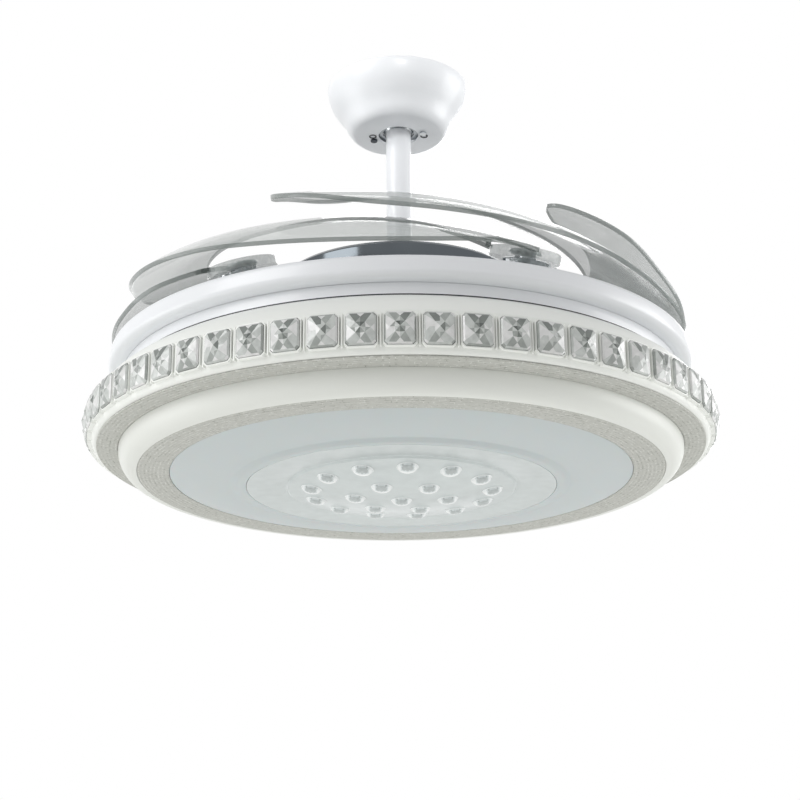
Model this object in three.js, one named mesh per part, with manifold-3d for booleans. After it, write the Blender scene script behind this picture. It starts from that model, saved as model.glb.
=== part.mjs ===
// Chandelier ceiling fan: a canopy and short rod carry a motor whose clear blades fold in over a lamp.
// Millimetres, +Z up. The origin is on the ceiling, in the middle of the bracket, and the fan hangs below it.
import * as THREE from "three";
import { mergeVertices } from "three/addons/utils/BufferGeometryUtils.js";
import Module from "manifold-3d";

const wasm = await Module();
wasm.setup();

// Driving sizes of the whole fan
const canopyRadius = 72;
const canopyDepth = 52;
const rodRadius = 12.5;
const motorTopDrop = 220;
const motorCoverRadius = 122;
const motorCoverHeight = 57.5;
const shellHeight = 26;
const bladeReach = 68;
const trayBelowMotor = 24.8;
const trayHeight = 19;
const trayFootInset = 9.5;
const trayFootHeight = 6;
const neckHeight = 11.4;
const bandRadius = 290;
const bandHeight = 58.4;
const bandShoulderDrop = 23;
const bandShoulderWidth = 25;
const trayInset = 12.5;
const bladeOverhang = 2.5;
const bandFootInset = 5;
const outerRingWidth = 20;
const outerRingDrop = 2.7;
const ivoryRingWidth = 15.2;
const ivoryRingDepth = 18.8;
const ivoryWall = 2.5;
const innerRingWidth = 29.5;
const diffuserWidth = 71.2;
const diffuserDepth = 10;

// Fits shared by every piece
const seatGap = 0.3;
const overrun = 1;
const weldDistance = 1e-4;

// Radii of the pieces that nest from the band inwards
const trayRadius = bandRadius - trayInset;
const foldedRadius = trayRadius + bladeOverhang;
const pivotRadius = foldedRadius - bladeReach;
const bandFootRadius = bandRadius - bandFootInset;
const ivoryRingTopRadius = bandFootRadius - outerRingWidth;
const ivoryRingFootRadius = ivoryRingTopRadius - ivoryRingWidth;
const innerRingOuter = ivoryRingFootRadius - ivoryWall - seatGap;
const innerRingInner = innerRingOuter - innerRingWidth;
const diffuserRadius = innerRingInner - seatGap;
const diffuserMouthRadius = diffuserRadius - diffuserWidth;

// Counts and angles
const bladeCount = 5;
const rotorRestAngle = THREE.MathUtils.degToRad(-59);
const bladeStep = 2 * Math.PI / bladeCount;
const crystalCount = 60;
const fineSides = crystalCount;
const ringSides = 48;
const midSides = 24;
const smallSides = 16;
const tinySides = 10;
const crystalTurn = -Math.PI / 2;
const halfFineStep = Math.PI / fineSides;

// Levels that several pieces share, all below the ceiling
const canopyBottom = -canopyDepth;
const motorTop = -motorTopDrop;
const motorBottom = motorTop - motorCoverHeight;
const trayTop = motorBottom - trayBelowMotor;
const trayBottom = trayTop - trayHeight;
const bandTop = trayBottom - seatGap - neckHeight;
const bandBottom = bandTop - bandHeight;
const outerRingInnerLevel = bandBottom - seatGap - outerRingDrop;
const ivoryFoot = outerRingInnerLevel - ivoryRingDepth;
const diffuserEdge = ivoryFoot + seatGap;
const diffuserBottom = diffuserEdge - diffuserDepth;

// Materials
function finish(color, roughness, metalness, opacity = 1) {
  return new THREE.MeshStandardMaterial({ color, roughness, metalness, opacity, transparent: opacity < 1 });
}
const whitePaint = finish(0xeeeff2, 0.35, 0);
const ivoryPaint = finish(0xefefea, 0.4, 0);
const textureBand = finish(0xc9cac2, 0.7, 0);
const chrome = finish(0xd9dcdf, 0.12, 1);
const steel = finish(0xb4b8bc, 0.35, 1);
const darkSteel = finish(0x62666b, 0.45, 1);
const copper = finish(0xb87333, 0.4, 1);
const clearAcrylic = finish(0xcdd2cf, 0.08, 0, 0.4);
const crystalGlass = finish(0xe8eceb, 0.03, 0, 0.5);
const frosted = finish(0xd6dfe2, 0.5, 0);
const lensPlastic = finish(0xe2e9eb, 0.15, 0, 0.7);
const boardGreen = finish(0xe9ece6, 0.6, 0);
const casePlastic = finish(0xe4e4df, 0.5, 0);
const blackPlastic = finish(0x2b2d30, 0.5, 0);

// Shape helpers
function closed(geometry) {
  const bare = geometry.clone();
  bare.deleteAttribute("normal");
  bare.deleteAttribute("uv");
  const merged = mergeVertices(bare, weldDistance);
  const position = merged.attributes.position;
  const corners = [new THREE.Vector3(), new THREE.Vector3(), new THREE.Vector3()];
  const kept = [];
  let volume = 0;
  for (let i = 0; i < merged.index.count; i += 3) {
    const face = [merged.index.getX(i), merged.index.getX(i + 1), merged.index.getX(i + 2)];
    if (face[0] === face[1] || face[1] === face[2] || face[2] === face[0]) continue;
    corners.forEach((corner, k) => corner.fromBufferAttribute(position, face[k]));
    volume += corners[0].dot(corners[1].clone().cross(corners[2]));
    kept.push(face);
  }
  const faces = volume < 0 ? kept.map(([a, b, c]) => [a, c, b]) : kept;
  const result = new THREE.BufferGeometry();
  result.setAttribute("position", position);
  result.setIndex(faces.flat());
  result.computeVertexNormals();
  return result;
}

function toManifold(geometry) {
  const shell = closed(geometry);
  const vertProperties = new Float32Array(shell.attributes.position.array);
  const triVerts = new Uint32Array(shell.index.array);
  return new wasm.Manifold(new wasm.Mesh({ numProp: 3, vertProperties, triVerts }));
}

function fromManifold(solid) {
  const mesh = solid.getMesh();
  const result = new THREE.BufferGeometry();
  const places = new Float32Array(mesh.vertProperties);
  result.setAttribute("position", new THREE.BufferAttribute(places, mesh.numProp));
  result.setIndex(new THREE.BufferAttribute(new Uint32Array(mesh.triVerts), 1));
  result.computeVertexNormals();
  return result;
}

function join(...geometries) {
  const [first, ...rest] = geometries.map(toManifold);
  return fromManifold(rest.reduce((whole, piece) => whole.add(piece), first));
}

function cut(base, ...tools) {
  return fromManifold(tools.map(toManifold).reduce((whole, tool) => whole.subtract(tool), toManifold(base)));
}

// A turned piece from a closed outline of [radius, level] pairs
function turned(outline, sides) {
  const points = [...outline, outline[0]].map(([radius, level]) => new THREE.Vector2(radius, level));
  return closed(new THREE.LatheGeometry(points, sides).rotateX(Math.PI / 2));
}

function rod(radius, bottom, top, sides) {
  const cylinder = new THREE.CylinderGeometry(radius, radius, top - bottom, sides);
  return cylinder.rotateX(Math.PI / 2).translate(0, 0, (top + bottom) / 2);
}

function tube(innerRadius, outerRadius, bottom, top, sides) {
  const outline = [[innerRadius, bottom], [outerRadius, bottom], [outerRadius, top], [innerRadius, top]];
  return turned(outline, sides);
}

function block(width, depth, bottom, top) {
  return new THREE.BoxGeometry(width, depth, top - bottom).translate(0, 0, (top + bottom) / 2);
}

function plate(shape, bottom, top) {
  const options = { depth: top - bottom, bevelEnabled: false, curveSegments: smallSides };
  return new THREE.ExtrudeGeometry(shape, options).translate(0, 0, bottom);
}

function onCircle(radius, angle) {
  return new THREE.Vector2(radius * Math.cos(angle), radius * Math.sin(angle));
}

function add(parent, name, geometry, material) {
  const mesh = new THREE.Mesh(geometry, material);
  mesh.name = name;
  parent.add(mesh);
  return mesh;
}

function groupIn(parent, angle = 0) {
  const group = new THREE.Group();
  group.rotation.z = angle;
  parent.add(group);
  return group;
}

const fan = new THREE.Group();

// Ceiling bracket: a bent steel strip on the ceiling, with a saddle that the hanger ball sits in
const bracketTurn = THREE.MathUtils.degToRad(-17);
const bracketLength = 104;
const bracketWidth = 36;
const bracketThickness = 3;
const bracketLegSpread = 58;
const saddleGap = 1.4;
const canopyWall = 1.6;
const ballRadius = 19;
const saddleHoleRadius = 16;
const saddleBottom = canopyBottom + canopyWall + saddleGap;
const saddleTop = saddleBottom + bracketThickness;
const ballCentre = saddleTop + Math.sqrt(ballRadius ** 2 - saddleHoleRadius ** 2);
const canopyScrewRadius = 1.8;
const canopyScrewSpread = 26;
const ceilingScrewRadius = 2.2;
const ceilingScrewSpread = 43;

const anchored = groupIn(fan, bracketTurn);
const legOffset = (bracketLegSpread + bracketThickness) / 2;
const saddleLength = bracketLegSpread + 2 * bracketThickness;
function sideLeg(side) {
  return block(bracketThickness, bracketWidth, saddleBottom, 0).translate(side * legOffset, 0, 0);
}
function spreadHole(radius, spread, side, bottom, top) {
  return rod(radius + seatGap, bottom - overrun, top + overrun, tinySides).translate(side * spread, 0, 0);
}
const bracketBody = join(
  block(bracketLength, bracketWidth, -bracketThickness, 0),
  block(saddleLength, bracketWidth, saddleBottom, saddleTop),
  sideLeg(-1),
  sideLeg(1),
);
const seatRadius = (ballRadius + seatGap) / Math.cos(Math.PI / smallSides);
const ballSeat = new THREE.SphereGeometry(seatRadius, smallSides, tinySides).rotateX(Math.PI / 2);
const bracketHoles = [-1, 1].flatMap((side) => [
  spreadHole(canopyScrewRadius, canopyScrewSpread, side, saddleBottom, saddleTop),
  spreadHole(ceilingScrewRadius, ceilingScrewSpread, side, -bracketThickness, 0),
]);
add(anchored, "ceiling_bracket", cut(
  bracketBody,
  rod(saddleHoleRadius, saddleBottom - overrun, saddleTop + overrun, smallSides),
  ballSeat.translate(0, 0, ballCentre),
  ...bracketHoles,
), steel);

// Screws that hold the bracket up, sunk level with the ceiling side, and the screws that hold the canopy
const screwHeadShare = 1.9;
const ceilingScrewHead = 2.4;
const canopyScrewHead = 1.8;
function hangingScrew(radius, headHeight, seatLevel, tipLevel) {
  const headTop = seatLevel - seatGap;
  return join(
    rod(radius, headTop - headHeight, tipLevel, tinySides),
    rod(radius * screwHeadShare, headTop - headHeight, headTop, tinySides),
  );
}
[-1, 1].forEach((side, i) => {
  const ceilingScrew = hangingScrew(ceilingScrewRadius, ceilingScrewHead, -bracketThickness, 0);
  const canopyScrew = hangingScrew(canopyScrewRadius, canopyScrewHead, canopyBottom, saddleTop);
  add(anchored, `bracket_screw_${i + 1}`, ceilingScrew, steel).position.x = side * ceilingScrewSpread;
  add(anchored, `canopy_screw_${i + 1}`, canopyScrew, darkSteel).position.x = side * canopyScrewSpread;
});

// Receiver box: slides into the bracket above the ball
const receiverLength = 50;
const receiverWidth = 30;
const receiverHeight = 12;
const receiverTop = -bracketThickness - seatGap;
add(anchored, "receiver_box", block(receiverLength, receiverWidth, receiverTop - receiverHeight, receiverTop),
  blackPlastic);

// Canopy: a spun bell with a flat bottom, a hole for the rod and two screw holes
const canopyHoleRadius = 20;
const canopyFootRadius = 43.5;
const canopyRimGap = 0.5;
const canopyOutlineShares = [
  [1, 0], [0.985, 0.17], [0.93, 0.39], [0.8, 0.64], [0.71, 0.86],
];
const canopyOuter = canopyOutlineShares.map(([radiusShare, depthShare]) => [
  canopyRadius * radiusShare,
  -canopyRimGap - (canopyDepth - canopyRimGap) * depthShare,
]);
const canopyInner = canopyOuter.map(([radius, level], i) => [
  radius - canopyWall,
  i === 0 ? level : Math.max(level, canopyBottom + canopyWall + seatGap),
]);
const canopyBell = turned([
  ...canopyOuter,
  [canopyFootRadius, canopyBottom],
  [canopyHoleRadius, canopyBottom],
  [canopyHoleRadius, canopyBottom + canopyWall],
  [canopyFootRadius, canopyBottom + canopyWall],
  ...canopyInner.reverse(),
], midSides);
add(anchored, "canopy", cut(canopyBell, ...[-1, 1].map((side) => spreadHole(
  canopyScrewRadius, canopyScrewSpread, side, canopyBottom, canopyBottom + canopyWall,
))), whitePaint);

// Hanger ball with its cross pin, and the downrod that hangs on the pin
const ballTopShare = 0.72;
const ballFootShare = 0.73;
const rodWall = 2;
const pinRadius = 2.5;
const pinRise = 5;
const pinLengthShare = 0.9;
const ballTop = ballCentre + ballRadius * ballTopShare;
const ballFoot = ballCentre - ballRadius * ballFootShare;
const pinLevel = ballCentre + pinRise;
const hanging = groupIn(fan);
function crossRod(radius, length, level) {
  return new THREE.CylinderGeometry(radius, radius, length, tinySides).translate(0, 0, level);
}
const ballWhole = new THREE.SphereGeometry(ballRadius, smallSides, tinySides).rotateX(Math.PI / 2);
const ballReach = 2 * ballRadius + overrun;
add(hanging, "hanger_ball", cut(
  ballWhole.translate(0, 0, ballCentre),
  rod(rodRadius + seatGap, ballCentre - ballReach, ballCentre + ballReach, smallSides),
  block(ballReach, ballReach, ballTop, ballCentre + ballReach),
  block(ballReach, ballReach, ballCentre - ballReach, ballFoot),
  crossRod(pinRadius + seatGap, ballReach, pinLevel),
), steel);
add(hanging, "ball_pin", crossRod(pinRadius, 2 * ballRadius * pinLengthShare, pinLevel), darkSteel);

// Yoke: a collar on the motor shaft that takes the rod's foot, with its bolt and clip
const yokeHeight = 22;
const yokeFlangeHeight = 4;
const yokeFlangeRadius = 26;
const yokeRadius = 18;
const yokeClearOfMotor = 2;
const shaftRadius = 9;
const yokeBoltRadius = 3;
const yokeBoltOverhang = 6;
const clipRadius = 5.5;
const clipThickness = 1.6;
const yokeFoot = motorTop + yokeClearOfMotor;
const yokeFloor = yokeFoot + yokeFlangeHeight;
const yokeTop = yokeFoot + yokeHeight;
const yokeBoltLevel = (yokeFloor + yokeTop) / 2;
const rodFoot = yokeFloor + seatGap;
const rodTop = ballTop - seatGap;
add(hanging, "downrod", cut(
  tube(rodRadius - rodWall, rodRadius, rodFoot, rodTop, smallSides),
  crossRod(pinRadius + seatGap, ballReach, pinLevel),
  crossRod(yokeBoltRadius + seatGap, ballReach, yokeBoltLevel),
), whitePaint);
add(hanging, "rod_yoke", cut(
  turned([
    [shaftRadius + seatGap, yokeFoot],
    [yokeFlangeRadius, yokeFoot],
    [yokeFlangeRadius, yokeFloor],
    [yokeRadius, yokeFloor],
    [yokeRadius, yokeTop],
    [rodRadius + seatGap, yokeTop],
    [rodRadius + seatGap, yokeFloor],
    [shaftRadius + seatGap, yokeFloor],
  ], smallSides),
  crossRod(yokeBoltRadius + seatGap, 2 * yokeRadius + overrun, yokeBoltLevel),
), steel);
const boltLength = 2 * (yokeRadius + yokeBoltOverhang);
add(hanging, "yoke_bolt", crossRod(yokeBoltRadius, boltLength, yokeBoltLevel), steel);
const clipRing = tube(yokeBoltRadius + seatGap, clipRadius, 0, clipThickness, tinySides);
clipRing.rotateX(Math.PI / 2).translate(0, yokeRadius + seatGap + clipThickness, yokeBoltLevel);
add(hanging, "yoke_clip", clipRing, darkSteel);

// Motor: fixed shaft, stator core with its winding, and two bearings
const coverWall = 1.6;
const shellTop = motorTop - coverWall - seatGap;
const shellJoint = shellTop - shellHeight;
const shellBottom = shellJoint - seatGap - shellHeight;
const shellWall = 3;
const shellRadius = motorCoverRadius - coverWall - seatGap;
const bearingRadius = 17;
const bearingHeight = 9;
const magnetThickness = 8;
const airGap = 1.5;
const magnetOuter = shellRadius - shellWall - seatGap;
const magnetInner = magnetOuter - magnetThickness;
const magnetHeight = 24;
const coreRadius = magnetInner - airGap;
const coreHubRadius = 48;
const coreHeight = 15;
const toothCount = 12;
const toothWidth = 15;
const windingClear = 4;
const windingInset = 13.3;
const windingHeight = 26;
const windingInner = coreHubRadius + windingClear;
const windingOuter = coreRadius - windingInset;
const upperBearingTop = shellTop - shellWall - seatGap;
const lowerBearingTop = shellBottom + shellWall + seatGap + bearingHeight;
function statorCore(gap) {
  const half = coreHeight / 2 + gap;
  const teeth = Array.from({ length: toothCount / 2 }, (_, i) => block(
    2 * coreRadius, toothWidth + 2 * gap, shellJoint - half, shellJoint + half,
  ).rotateZ(i * 2 * Math.PI / toothCount));
  return join(rod(coreHubRadius + gap, shellJoint - half, shellJoint + half, midSides), ...teeth);
}
const shaftBore = rod(shaftRadius + seatGap, shellBottom, shellTop, smallSides);
add(hanging, "stator_core", cut(statorCore(0), shaftBore), darkSteel);
const windingBlank = tube(
  windingInner, windingOuter, shellJoint - windingHeight / 2, shellJoint + windingHeight / 2, midSides,
);
add(hanging, "stator_winding", cut(windingBlank, statorCore(seatGap)), copper);
[["upper_bearing", upperBearingTop], ["lower_bearing", lowerBearingTop]].forEach(([name, top]) => {
  const bearing = tube(shaftRadius + seatGap, bearingRadius, top - bearingHeight, top, smallSides);
  add(hanging, name, bearing, chrome);
});

// Lamp hub, shaft and nut: the shaft runs down through the rotor and carries the lamp on its nut
const trayFloor = 2.5;
const hubFlangeRadius = 60;
const hubFlangeHeight = 3;
const hubRadius = 18;
const hubHeight = 14.5;
const shoulderRadius = 13;
const shoulderHeight = 6;
const nutRadius = 15;
const nutHeight = 8;
const shaftTail = 4;
const hubFoot = trayBottom + trayFloor + seatGap;
const hubTop = hubFoot + hubHeight;
const nutTop = trayBottom - seatGap;
const shaftTop = rodFoot - seatGap;
const shaftEnd = nutTop - nutHeight - shaftTail;
add(hanging, "motor_shaft", join(
  rod(shaftRadius, shaftEnd, shaftTop, smallSides),
  rod(shoulderRadius, hubTop + seatGap, hubTop + seatGap + shoulderHeight, smallSides),
), steel);
add(hanging, "lamp_hub", turned([
  [shaftRadius + seatGap, hubFoot],
  [hubFlangeRadius, hubFoot],
  [hubFlangeRadius, hubFoot + hubFlangeHeight],
  [hubRadius, hubFoot + hubFlangeHeight],
  [hubRadius, hubTop],
  [shaftRadius + seatGap, hubTop],
], midSides), steel);
const nutSides = 6;
add(hanging, "hub_nut", cut(
  rod(nutRadius, nutTop - nutHeight, nutTop, nutSides),
  rod(shaftRadius + seatGap, nutTop - nutHeight - overrun, nutTop + overrun, smallSides),
), steel);

// Lamp tray: the white upper pan, with three long screws through the neck ring into the crystal ring's flange
const trayWall = 3;
const neckInset = 13.5;
const neckWall = 8;
const flangeThickness = 2;
const trayScrewRadius = 1.8;
const trayScrewHead = 2;
const trayScrewTail = 3;
const trayScrewCount = 3;
const trayFootRadius = trayRadius - trayFootInset;
const neckOuterRadius = trayRadius - neckInset;
const neckInnerRadius = neckOuterRadius - neckWall;
const trayScrewTip = bandTop - flangeThickness - trayScrewTail;
const neckMiddle = (neckInnerRadius + neckOuterRadius) / 2;
function trayScrewHole(i, bottom, top) {
  const hole = rod(trayScrewRadius + seatGap, bottom, top, tinySides);
  return hole.translate(neckMiddle, 0, 0).rotateZ(i * 2 * Math.PI / trayScrewCount);
}
const trayScrewPlaces = Array.from({ length: trayScrewCount }, (_, i) => i);
add(hanging, "lamp_tray", cut(
  turned([
    [shaftRadius + seatGap, trayBottom],
    [trayFootRadius, trayBottom],
    [trayRadius, trayBottom + trayFootHeight],
    [trayRadius, trayTop],
    [trayRadius - trayWall, trayTop],
    [trayFootRadius - trayWall, trayBottom + trayFloor],
    [shaftRadius + seatGap, trayBottom + trayFloor],
  ], ringSides),
  ...trayScrewPlaces.map((i) => trayScrewHole(i, trayBottom - overrun, trayBottom + trayFloor + overrun)),
), whitePaint);
const screwSeat = trayBottom + trayFloor + seatGap;
trayScrewPlaces.forEach((i) => {
  const screw = join(
    rod(trayScrewRadius, trayScrewTip, screwSeat + trayScrewHead, tinySides),
    rod(trayScrewRadius * screwHeadShare, screwSeat, screwSeat + trayScrewHead, tinySides),
  );
  screw.translate(neckMiddle, 0, 0).rotateZ(i * 2 * Math.PI / trayScrewCount);
  add(hanging, `tray_screw_${i + 1}`, screw, steel);
});

// Neck ring: a spacer between the tray and the crystal ring
const neckTop = trayBottom - seatGap;
add(hanging, "crystal_ring_neck", cut(
  tube(neckInnerRadius, neckOuterRadius, bandTop + seatGap, neckTop, ringSides),
  ...trayScrewPlaces.map((i) => trayScrewHole(i, bandTop - overrun, neckTop + overrun)),
), whitePaint);

// Crystal ring frame: top flange, sloping shoulder, the band that carries the crystals, and the lip under it
const bandWall = 2.5;
const flangeOverMouth = 4;
const bandFootRound = 4;
const lipThickness = 2;
const lipOverlap = 10;
const flangeInnerRadius = diffuserMouthRadius + flangeOverMouth;
const lipInnerRadius = ivoryRingTopRadius - lipOverlap;
const bandInner = bandRadius - bandWall;
const bandShoulderRadius = bandRadius - bandShoulderWidth;
const bandShoulderFoot = bandTop - bandShoulderDrop;
add(hanging, "crystal_ring_frame", cut(
  turned([
    [flangeInnerRadius, bandTop - flangeThickness],
    [bandShoulderRadius - bandWall, bandTop - flangeThickness],
    [bandInner, bandShoulderFoot - flangeThickness],
    [bandFootRadius - bandWall, bandBottom + lipThickness],
    [lipInnerRadius, bandBottom + lipThickness],
    [lipInnerRadius, bandBottom],
    [bandFootRadius, bandBottom],
    [bandRadius, bandBottom + bandFootRound],
    [bandRadius, bandShoulderFoot],
    [bandShoulderRadius, bandTop],
    [flangeInnerRadius, bandTop],
  ], fineSides).rotateZ(crystalTurn + halfFineStep),
  ...trayScrewPlaces.map((i) => trayScrewHole(i, trayScrewTip, bandTop + overrun)),
), ivoryPaint);

// Crystal strip: square crystals with crossed facets, each turned outwards, on one clear backing strip
const crystalSpacing = 4.87;
const crystalHeight = 27.4;
const crystalDepth = 6;
const crystalPoint = 3.4;
const backingThickness = 1.2;
const backingHeight = 22;
const crystalDrop = 39.4;
const crystalWidth = 2 * Math.PI * bandRadius / crystalCount - crystalSpacing;
const crystalMiddle = bandTop - crystalDrop;
const flatShare = Math.cos(halfFineStep);
const backingInner = bandRadius + seatGap;
function crystal(i) {
  const face = backingInner * flatShare + backingThickness;
  const body = new THREE.BoxGeometry(crystalDepth, crystalWidth, crystalHeight);
  body.translate(face + crystalDepth / 2 - backingThickness / 2, 0, crystalMiddle);
  const point = new THREE.ConeGeometry(Math.SQRT1_2, 1, 4, 1).rotateY(Math.PI / 4).rotateZ(-Math.PI / 2);
  point.scale(crystalPoint, crystalHeight, crystalWidth).rotateX(Math.PI / 2);
  point.translate(face + crystalDepth - backingThickness / 2 + crystalPoint / 2, 0, crystalMiddle);
  return join(body, point).rotateZ(crystalTurn + i * 2 * Math.PI / crystalCount);
}
const backing = tube(
  backingInner, backingInner + backingThickness,
  crystalMiddle - backingHeight / 2, crystalMiddle + backingHeight / 2, fineSides,
);
backing.rotateZ(crystalTurn + halfFineStep);
add(hanging, "crystal_strip", join(
  backing,
  ...Array.from({ length: crystalCount }, (_, i) => crystal(i)),
), crystalGlass);

// Rings below the band: outer textured ring, ivory stepped ring, inner textured ring
const ringThickness = 2.5;
const outerRingTop = bandBottom - seatGap;
add(hanging, "outer_texture_ring", turned([
  [ivoryRingTopRadius + seatGap, outerRingTop],
  [ivoryRingTopRadius + seatGap, outerRingInnerLevel],
  [bandFootRadius, outerRingTop - ringThickness / 2],
  [bandFootRadius, outerRingTop],
], ringSides), textureBand);
const ivoryShoulderShare = 0.45;
const ivoryCurveShare = 0.16;
const ivoryLedgeHeight = 3;
const ivoryLedgeWidth = 4;
const ivoryBend = ivoryFoot + ivoryRingDepth * ivoryShoulderShare;
const ivoryHeel = ivoryFoot + ivoryRingDepth * ivoryCurveShare;
const ivoryLedge = ivoryFoot + ivoryLedgeHeight;
add(hanging, "ivory_step_ring", turned([
  [ivoryRingTopRadius - ivoryWall, outerRingTop],
  [ivoryRingTopRadius, outerRingTop],
  [ivoryRingTopRadius, outerRingInnerLevel],
  [ivoryRingTopRadius - ivoryRingWidth * ivoryCurveShare, ivoryBend],
  [ivoryRingTopRadius - ivoryRingWidth * ivoryShoulderShare, ivoryHeel],
  [ivoryRingFootRadius, ivoryFoot],
  [ivoryRingFootRadius - ivoryWall, ivoryFoot],
  [ivoryRingFootRadius - ivoryWall, ivoryLedge],
  [ivoryRingFootRadius + ivoryLedgeWidth, ivoryLedge],
  [ivoryRingTopRadius - ivoryRingWidth * ivoryCurveShare - ivoryWall, ivoryBend + ivoryWall],
], ringSides), ivoryPaint);
const innerRingSag = 1.6;
const innerRingFlatInset = 10;
const innerFlangeThickness = 1.5;
const innerFlangeFoot = ivoryLedge + seatGap;
const innerRingTop = innerFlangeFoot + innerFlangeThickness;
add(hanging, "inner_texture_ring", turned([
  [innerRingInner, ivoryFoot],
  [innerRingOuter - innerRingFlatInset, ivoryFoot - innerRingSag],
  [innerRingOuter, ivoryFoot],
  [innerRingOuter, innerFlangeFoot],
  [ivoryRingFootRadius, innerFlangeFoot],
  [ivoryRingFootRadius, innerRingTop],
  [innerRingInner, innerRingTop],
], ringSides), textureBand);

// Diffuser: a frosted dish whose flange lies on the inner ring, with a lip round the lens plate
const diffuserWall = 2.5;
const diffuserFlange = 12;
const mouthLip = 9;
const stepRadius = diffuserMouthRadius + mouthLip;
const flangeFoot = innerRingTop + seatGap;
const coneDropShare = 0.75;
const stepLevel = diffuserEdge - diffuserDepth * coneDropShare;
add(hanging, "diffuser", turned([
  [diffuserMouthRadius, diffuserBottom],
  [stepRadius, diffuserBottom],
  [stepRadius + ringThickness, stepLevel],
  [diffuserRadius, diffuserEdge],
  [diffuserRadius, flangeFoot],
  [diffuserRadius + diffuserFlange, flangeFoot],
  [diffuserRadius + diffuserFlange, flangeFoot + diffuserWall],
  [diffuserRadius - diffuserWall, flangeFoot + diffuserWall],
  [diffuserRadius - diffuserWall, diffuserEdge + diffuserWall],
  [stepRadius + ringThickness, stepLevel + diffuserWall],
  [stepRadius, diffuserBottom + diffuserWall],
  [diffuserMouthRadius, diffuserBottom + diffuserWall],
], ringSides), frosted);

// Lens plate: drops through the diffuser's mouth and hangs on its lip. Its middle bulges down and carries the
// lenses, in rows of a count, a share of the bulge's radius and the angle of the first
const lensPlateWall = 3;
const lensRadius = 9;
const lensBulge = 5.5;
const lensRowShares = [[1, 0, 0], [6, 0.46, -54.6], [13, 0.9, -86.3]];
const lensDomeShares = [[1, 0], [0.9, 0.45], [0.55, 0.85], [0, 1]];
const lensSides = 8;
const lensFieldInset = 37.2;
const lensFieldDrop = 1;
const lensFieldFlat = 13.8;
const plateSag = 10;
const plateSagShares = [0, 0.4, 0.7, 1];
const plateRimWidth = 5;
const plateTop = diffuserBottom + diffuserWall + seatGap + lensPlateWall;
const plateBottom = diffuserBottom - lensFieldDrop;
const plateOuter = diffuserMouthRadius - seatGap;
const lensFieldRadius = diffuserMouthRadius - lensFieldInset;
const plateSagRadius = lensFieldRadius - lensFieldFlat;
function sagLevel(share) {
  return plateBottom - plateSag * (1 - share ** 2);
}
const sagOutline = plateSagShares.map((share) => [plateSagRadius * share, sagLevel(share)]);
const lensPlateBlank = turned([
  ...sagOutline,
  [lensFieldRadius, plateBottom],
  [lensFieldRadius, diffuserBottom],
  [plateOuter, diffuserBottom],
  [plateOuter, plateTop - lensPlateWall],
  [diffuserMouthRadius + plateRimWidth, plateTop - lensPlateWall],
  [diffuserMouthRadius + plateRimWidth, plateTop],
  [plateOuter - lensPlateWall, plateTop],
  [plateOuter - lensPlateWall, plateBottom + lensPlateWall],
  ...sagOutline.toReversed().map(([radius, level]) => [radius, level + lensPlateWall]),
], ringSides);
const lensOutline = lensDomeShares.map(([radiusShare, depthShare]) => [
  lensRadius * radiusShare,
  -lensBulge * depthShare,
]);
const lensBody = turned([[0, lensPlateWall / 2], [lensRadius, lensPlateWall / 2], ...lensOutline], lensSides);
const lenses = lensRowShares.flatMap(([count, share, firstAngle]) => (
  Array.from({ length: count }, (_, i) => {
    const angle = THREE.MathUtils.degToRad(firstAngle) + i * 2 * Math.PI / count;
    const place = onCircle(plateSagRadius * share, angle);
    return lensBody.clone().translate(place.x, place.y, sagLevel(share));
  })
));
add(hanging, "lens_plate", join(lensPlateBlank, ...lenses), lensPlastic);

// Light board under the frame's flange, and the driver box in the neck above it
const boardInset = 45;
const boardWidth = 85;
const boardThickness = 1.6;
const driverLength = 92;
const driverWidth = 46;
const driverHeight = 11;
const driverInset = 39;
const boardRadius = neckInnerRadius - boardInset;
const boardTop = bandTop - flangeThickness - seatGap;
add(hanging, "led_board", tube(
  boardRadius - boardWidth, boardRadius, boardTop - boardThickness, boardTop, midSides,
), boardGreen);
const driver = block(driverWidth, driverLength, bandTop + seatGap, bandTop + seatGap + driverHeight);
const driverPlace = neckInnerRadius - driverInset - driverWidth / 2;
add(hanging, "led_driver", driver.translate(driverPlace, 0, 0), casePlastic);

// Rotor: chrome cover, two shells, the magnet ring and the carrier with its five arms
const rotor = groupIn(fan, rotorRestAngle);
const coverHoleRadius = 30;
const coverBevel = 4;
const coverInner = motorCoverRadius - coverWall;
add(rotor, "motor_cover", turned([
  [coverHoleRadius, motorTop],
  [motorCoverRadius - coverBevel, motorTop],
  [motorCoverRadius, motorTop - coverBevel],
  [motorCoverRadius, motorBottom],
  [coverInner, motorBottom],
  [coverInner, motorTop - coverBevel],
  [coverInner - coverBevel + coverWall, motorTop - coverWall],
  [coverHoleRadius, motorTop - coverWall],
], midSides), chrome);
const bearingSeat = bearingRadius + seatGap;
const bossRadius = bearingSeat + shellWall;
const shellCorner = shellRadius - coverBevel;
function shell(face, jointLevel, bearingLevel, inward) {
  return turned([
    [bearingSeat, face],
    [shellCorner, face],
    [shellRadius, face + inward * coverBevel],
    [shellRadius, jointLevel],
    [shellRadius - shellWall, jointLevel],
    [shellRadius - shellWall, face + inward * shellWall],
    [bossRadius, face + inward * shellWall],
    [bossRadius, bearingLevel],
    [bearingSeat, bearingLevel],
  ], midSides);
}
add(rotor, "rotor_upper_shell", shell(shellTop, shellJoint, upperBearingTop - bearingHeight, -1), steel);
const lowerShellFace = shellBottom;
const lowerShellJoint = shellJoint - seatGap;
add(rotor, "rotor_lower_shell", shell(lowerShellFace, lowerShellJoint, lowerBearingTop, 1), steel);
add(rotor, "magnet_ring", tube(
  magnetInner, magnetOuter, shellJoint - magnetHeight / 2, shellJoint + magnetHeight / 2, midSides,
), blackPlastic);

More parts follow.
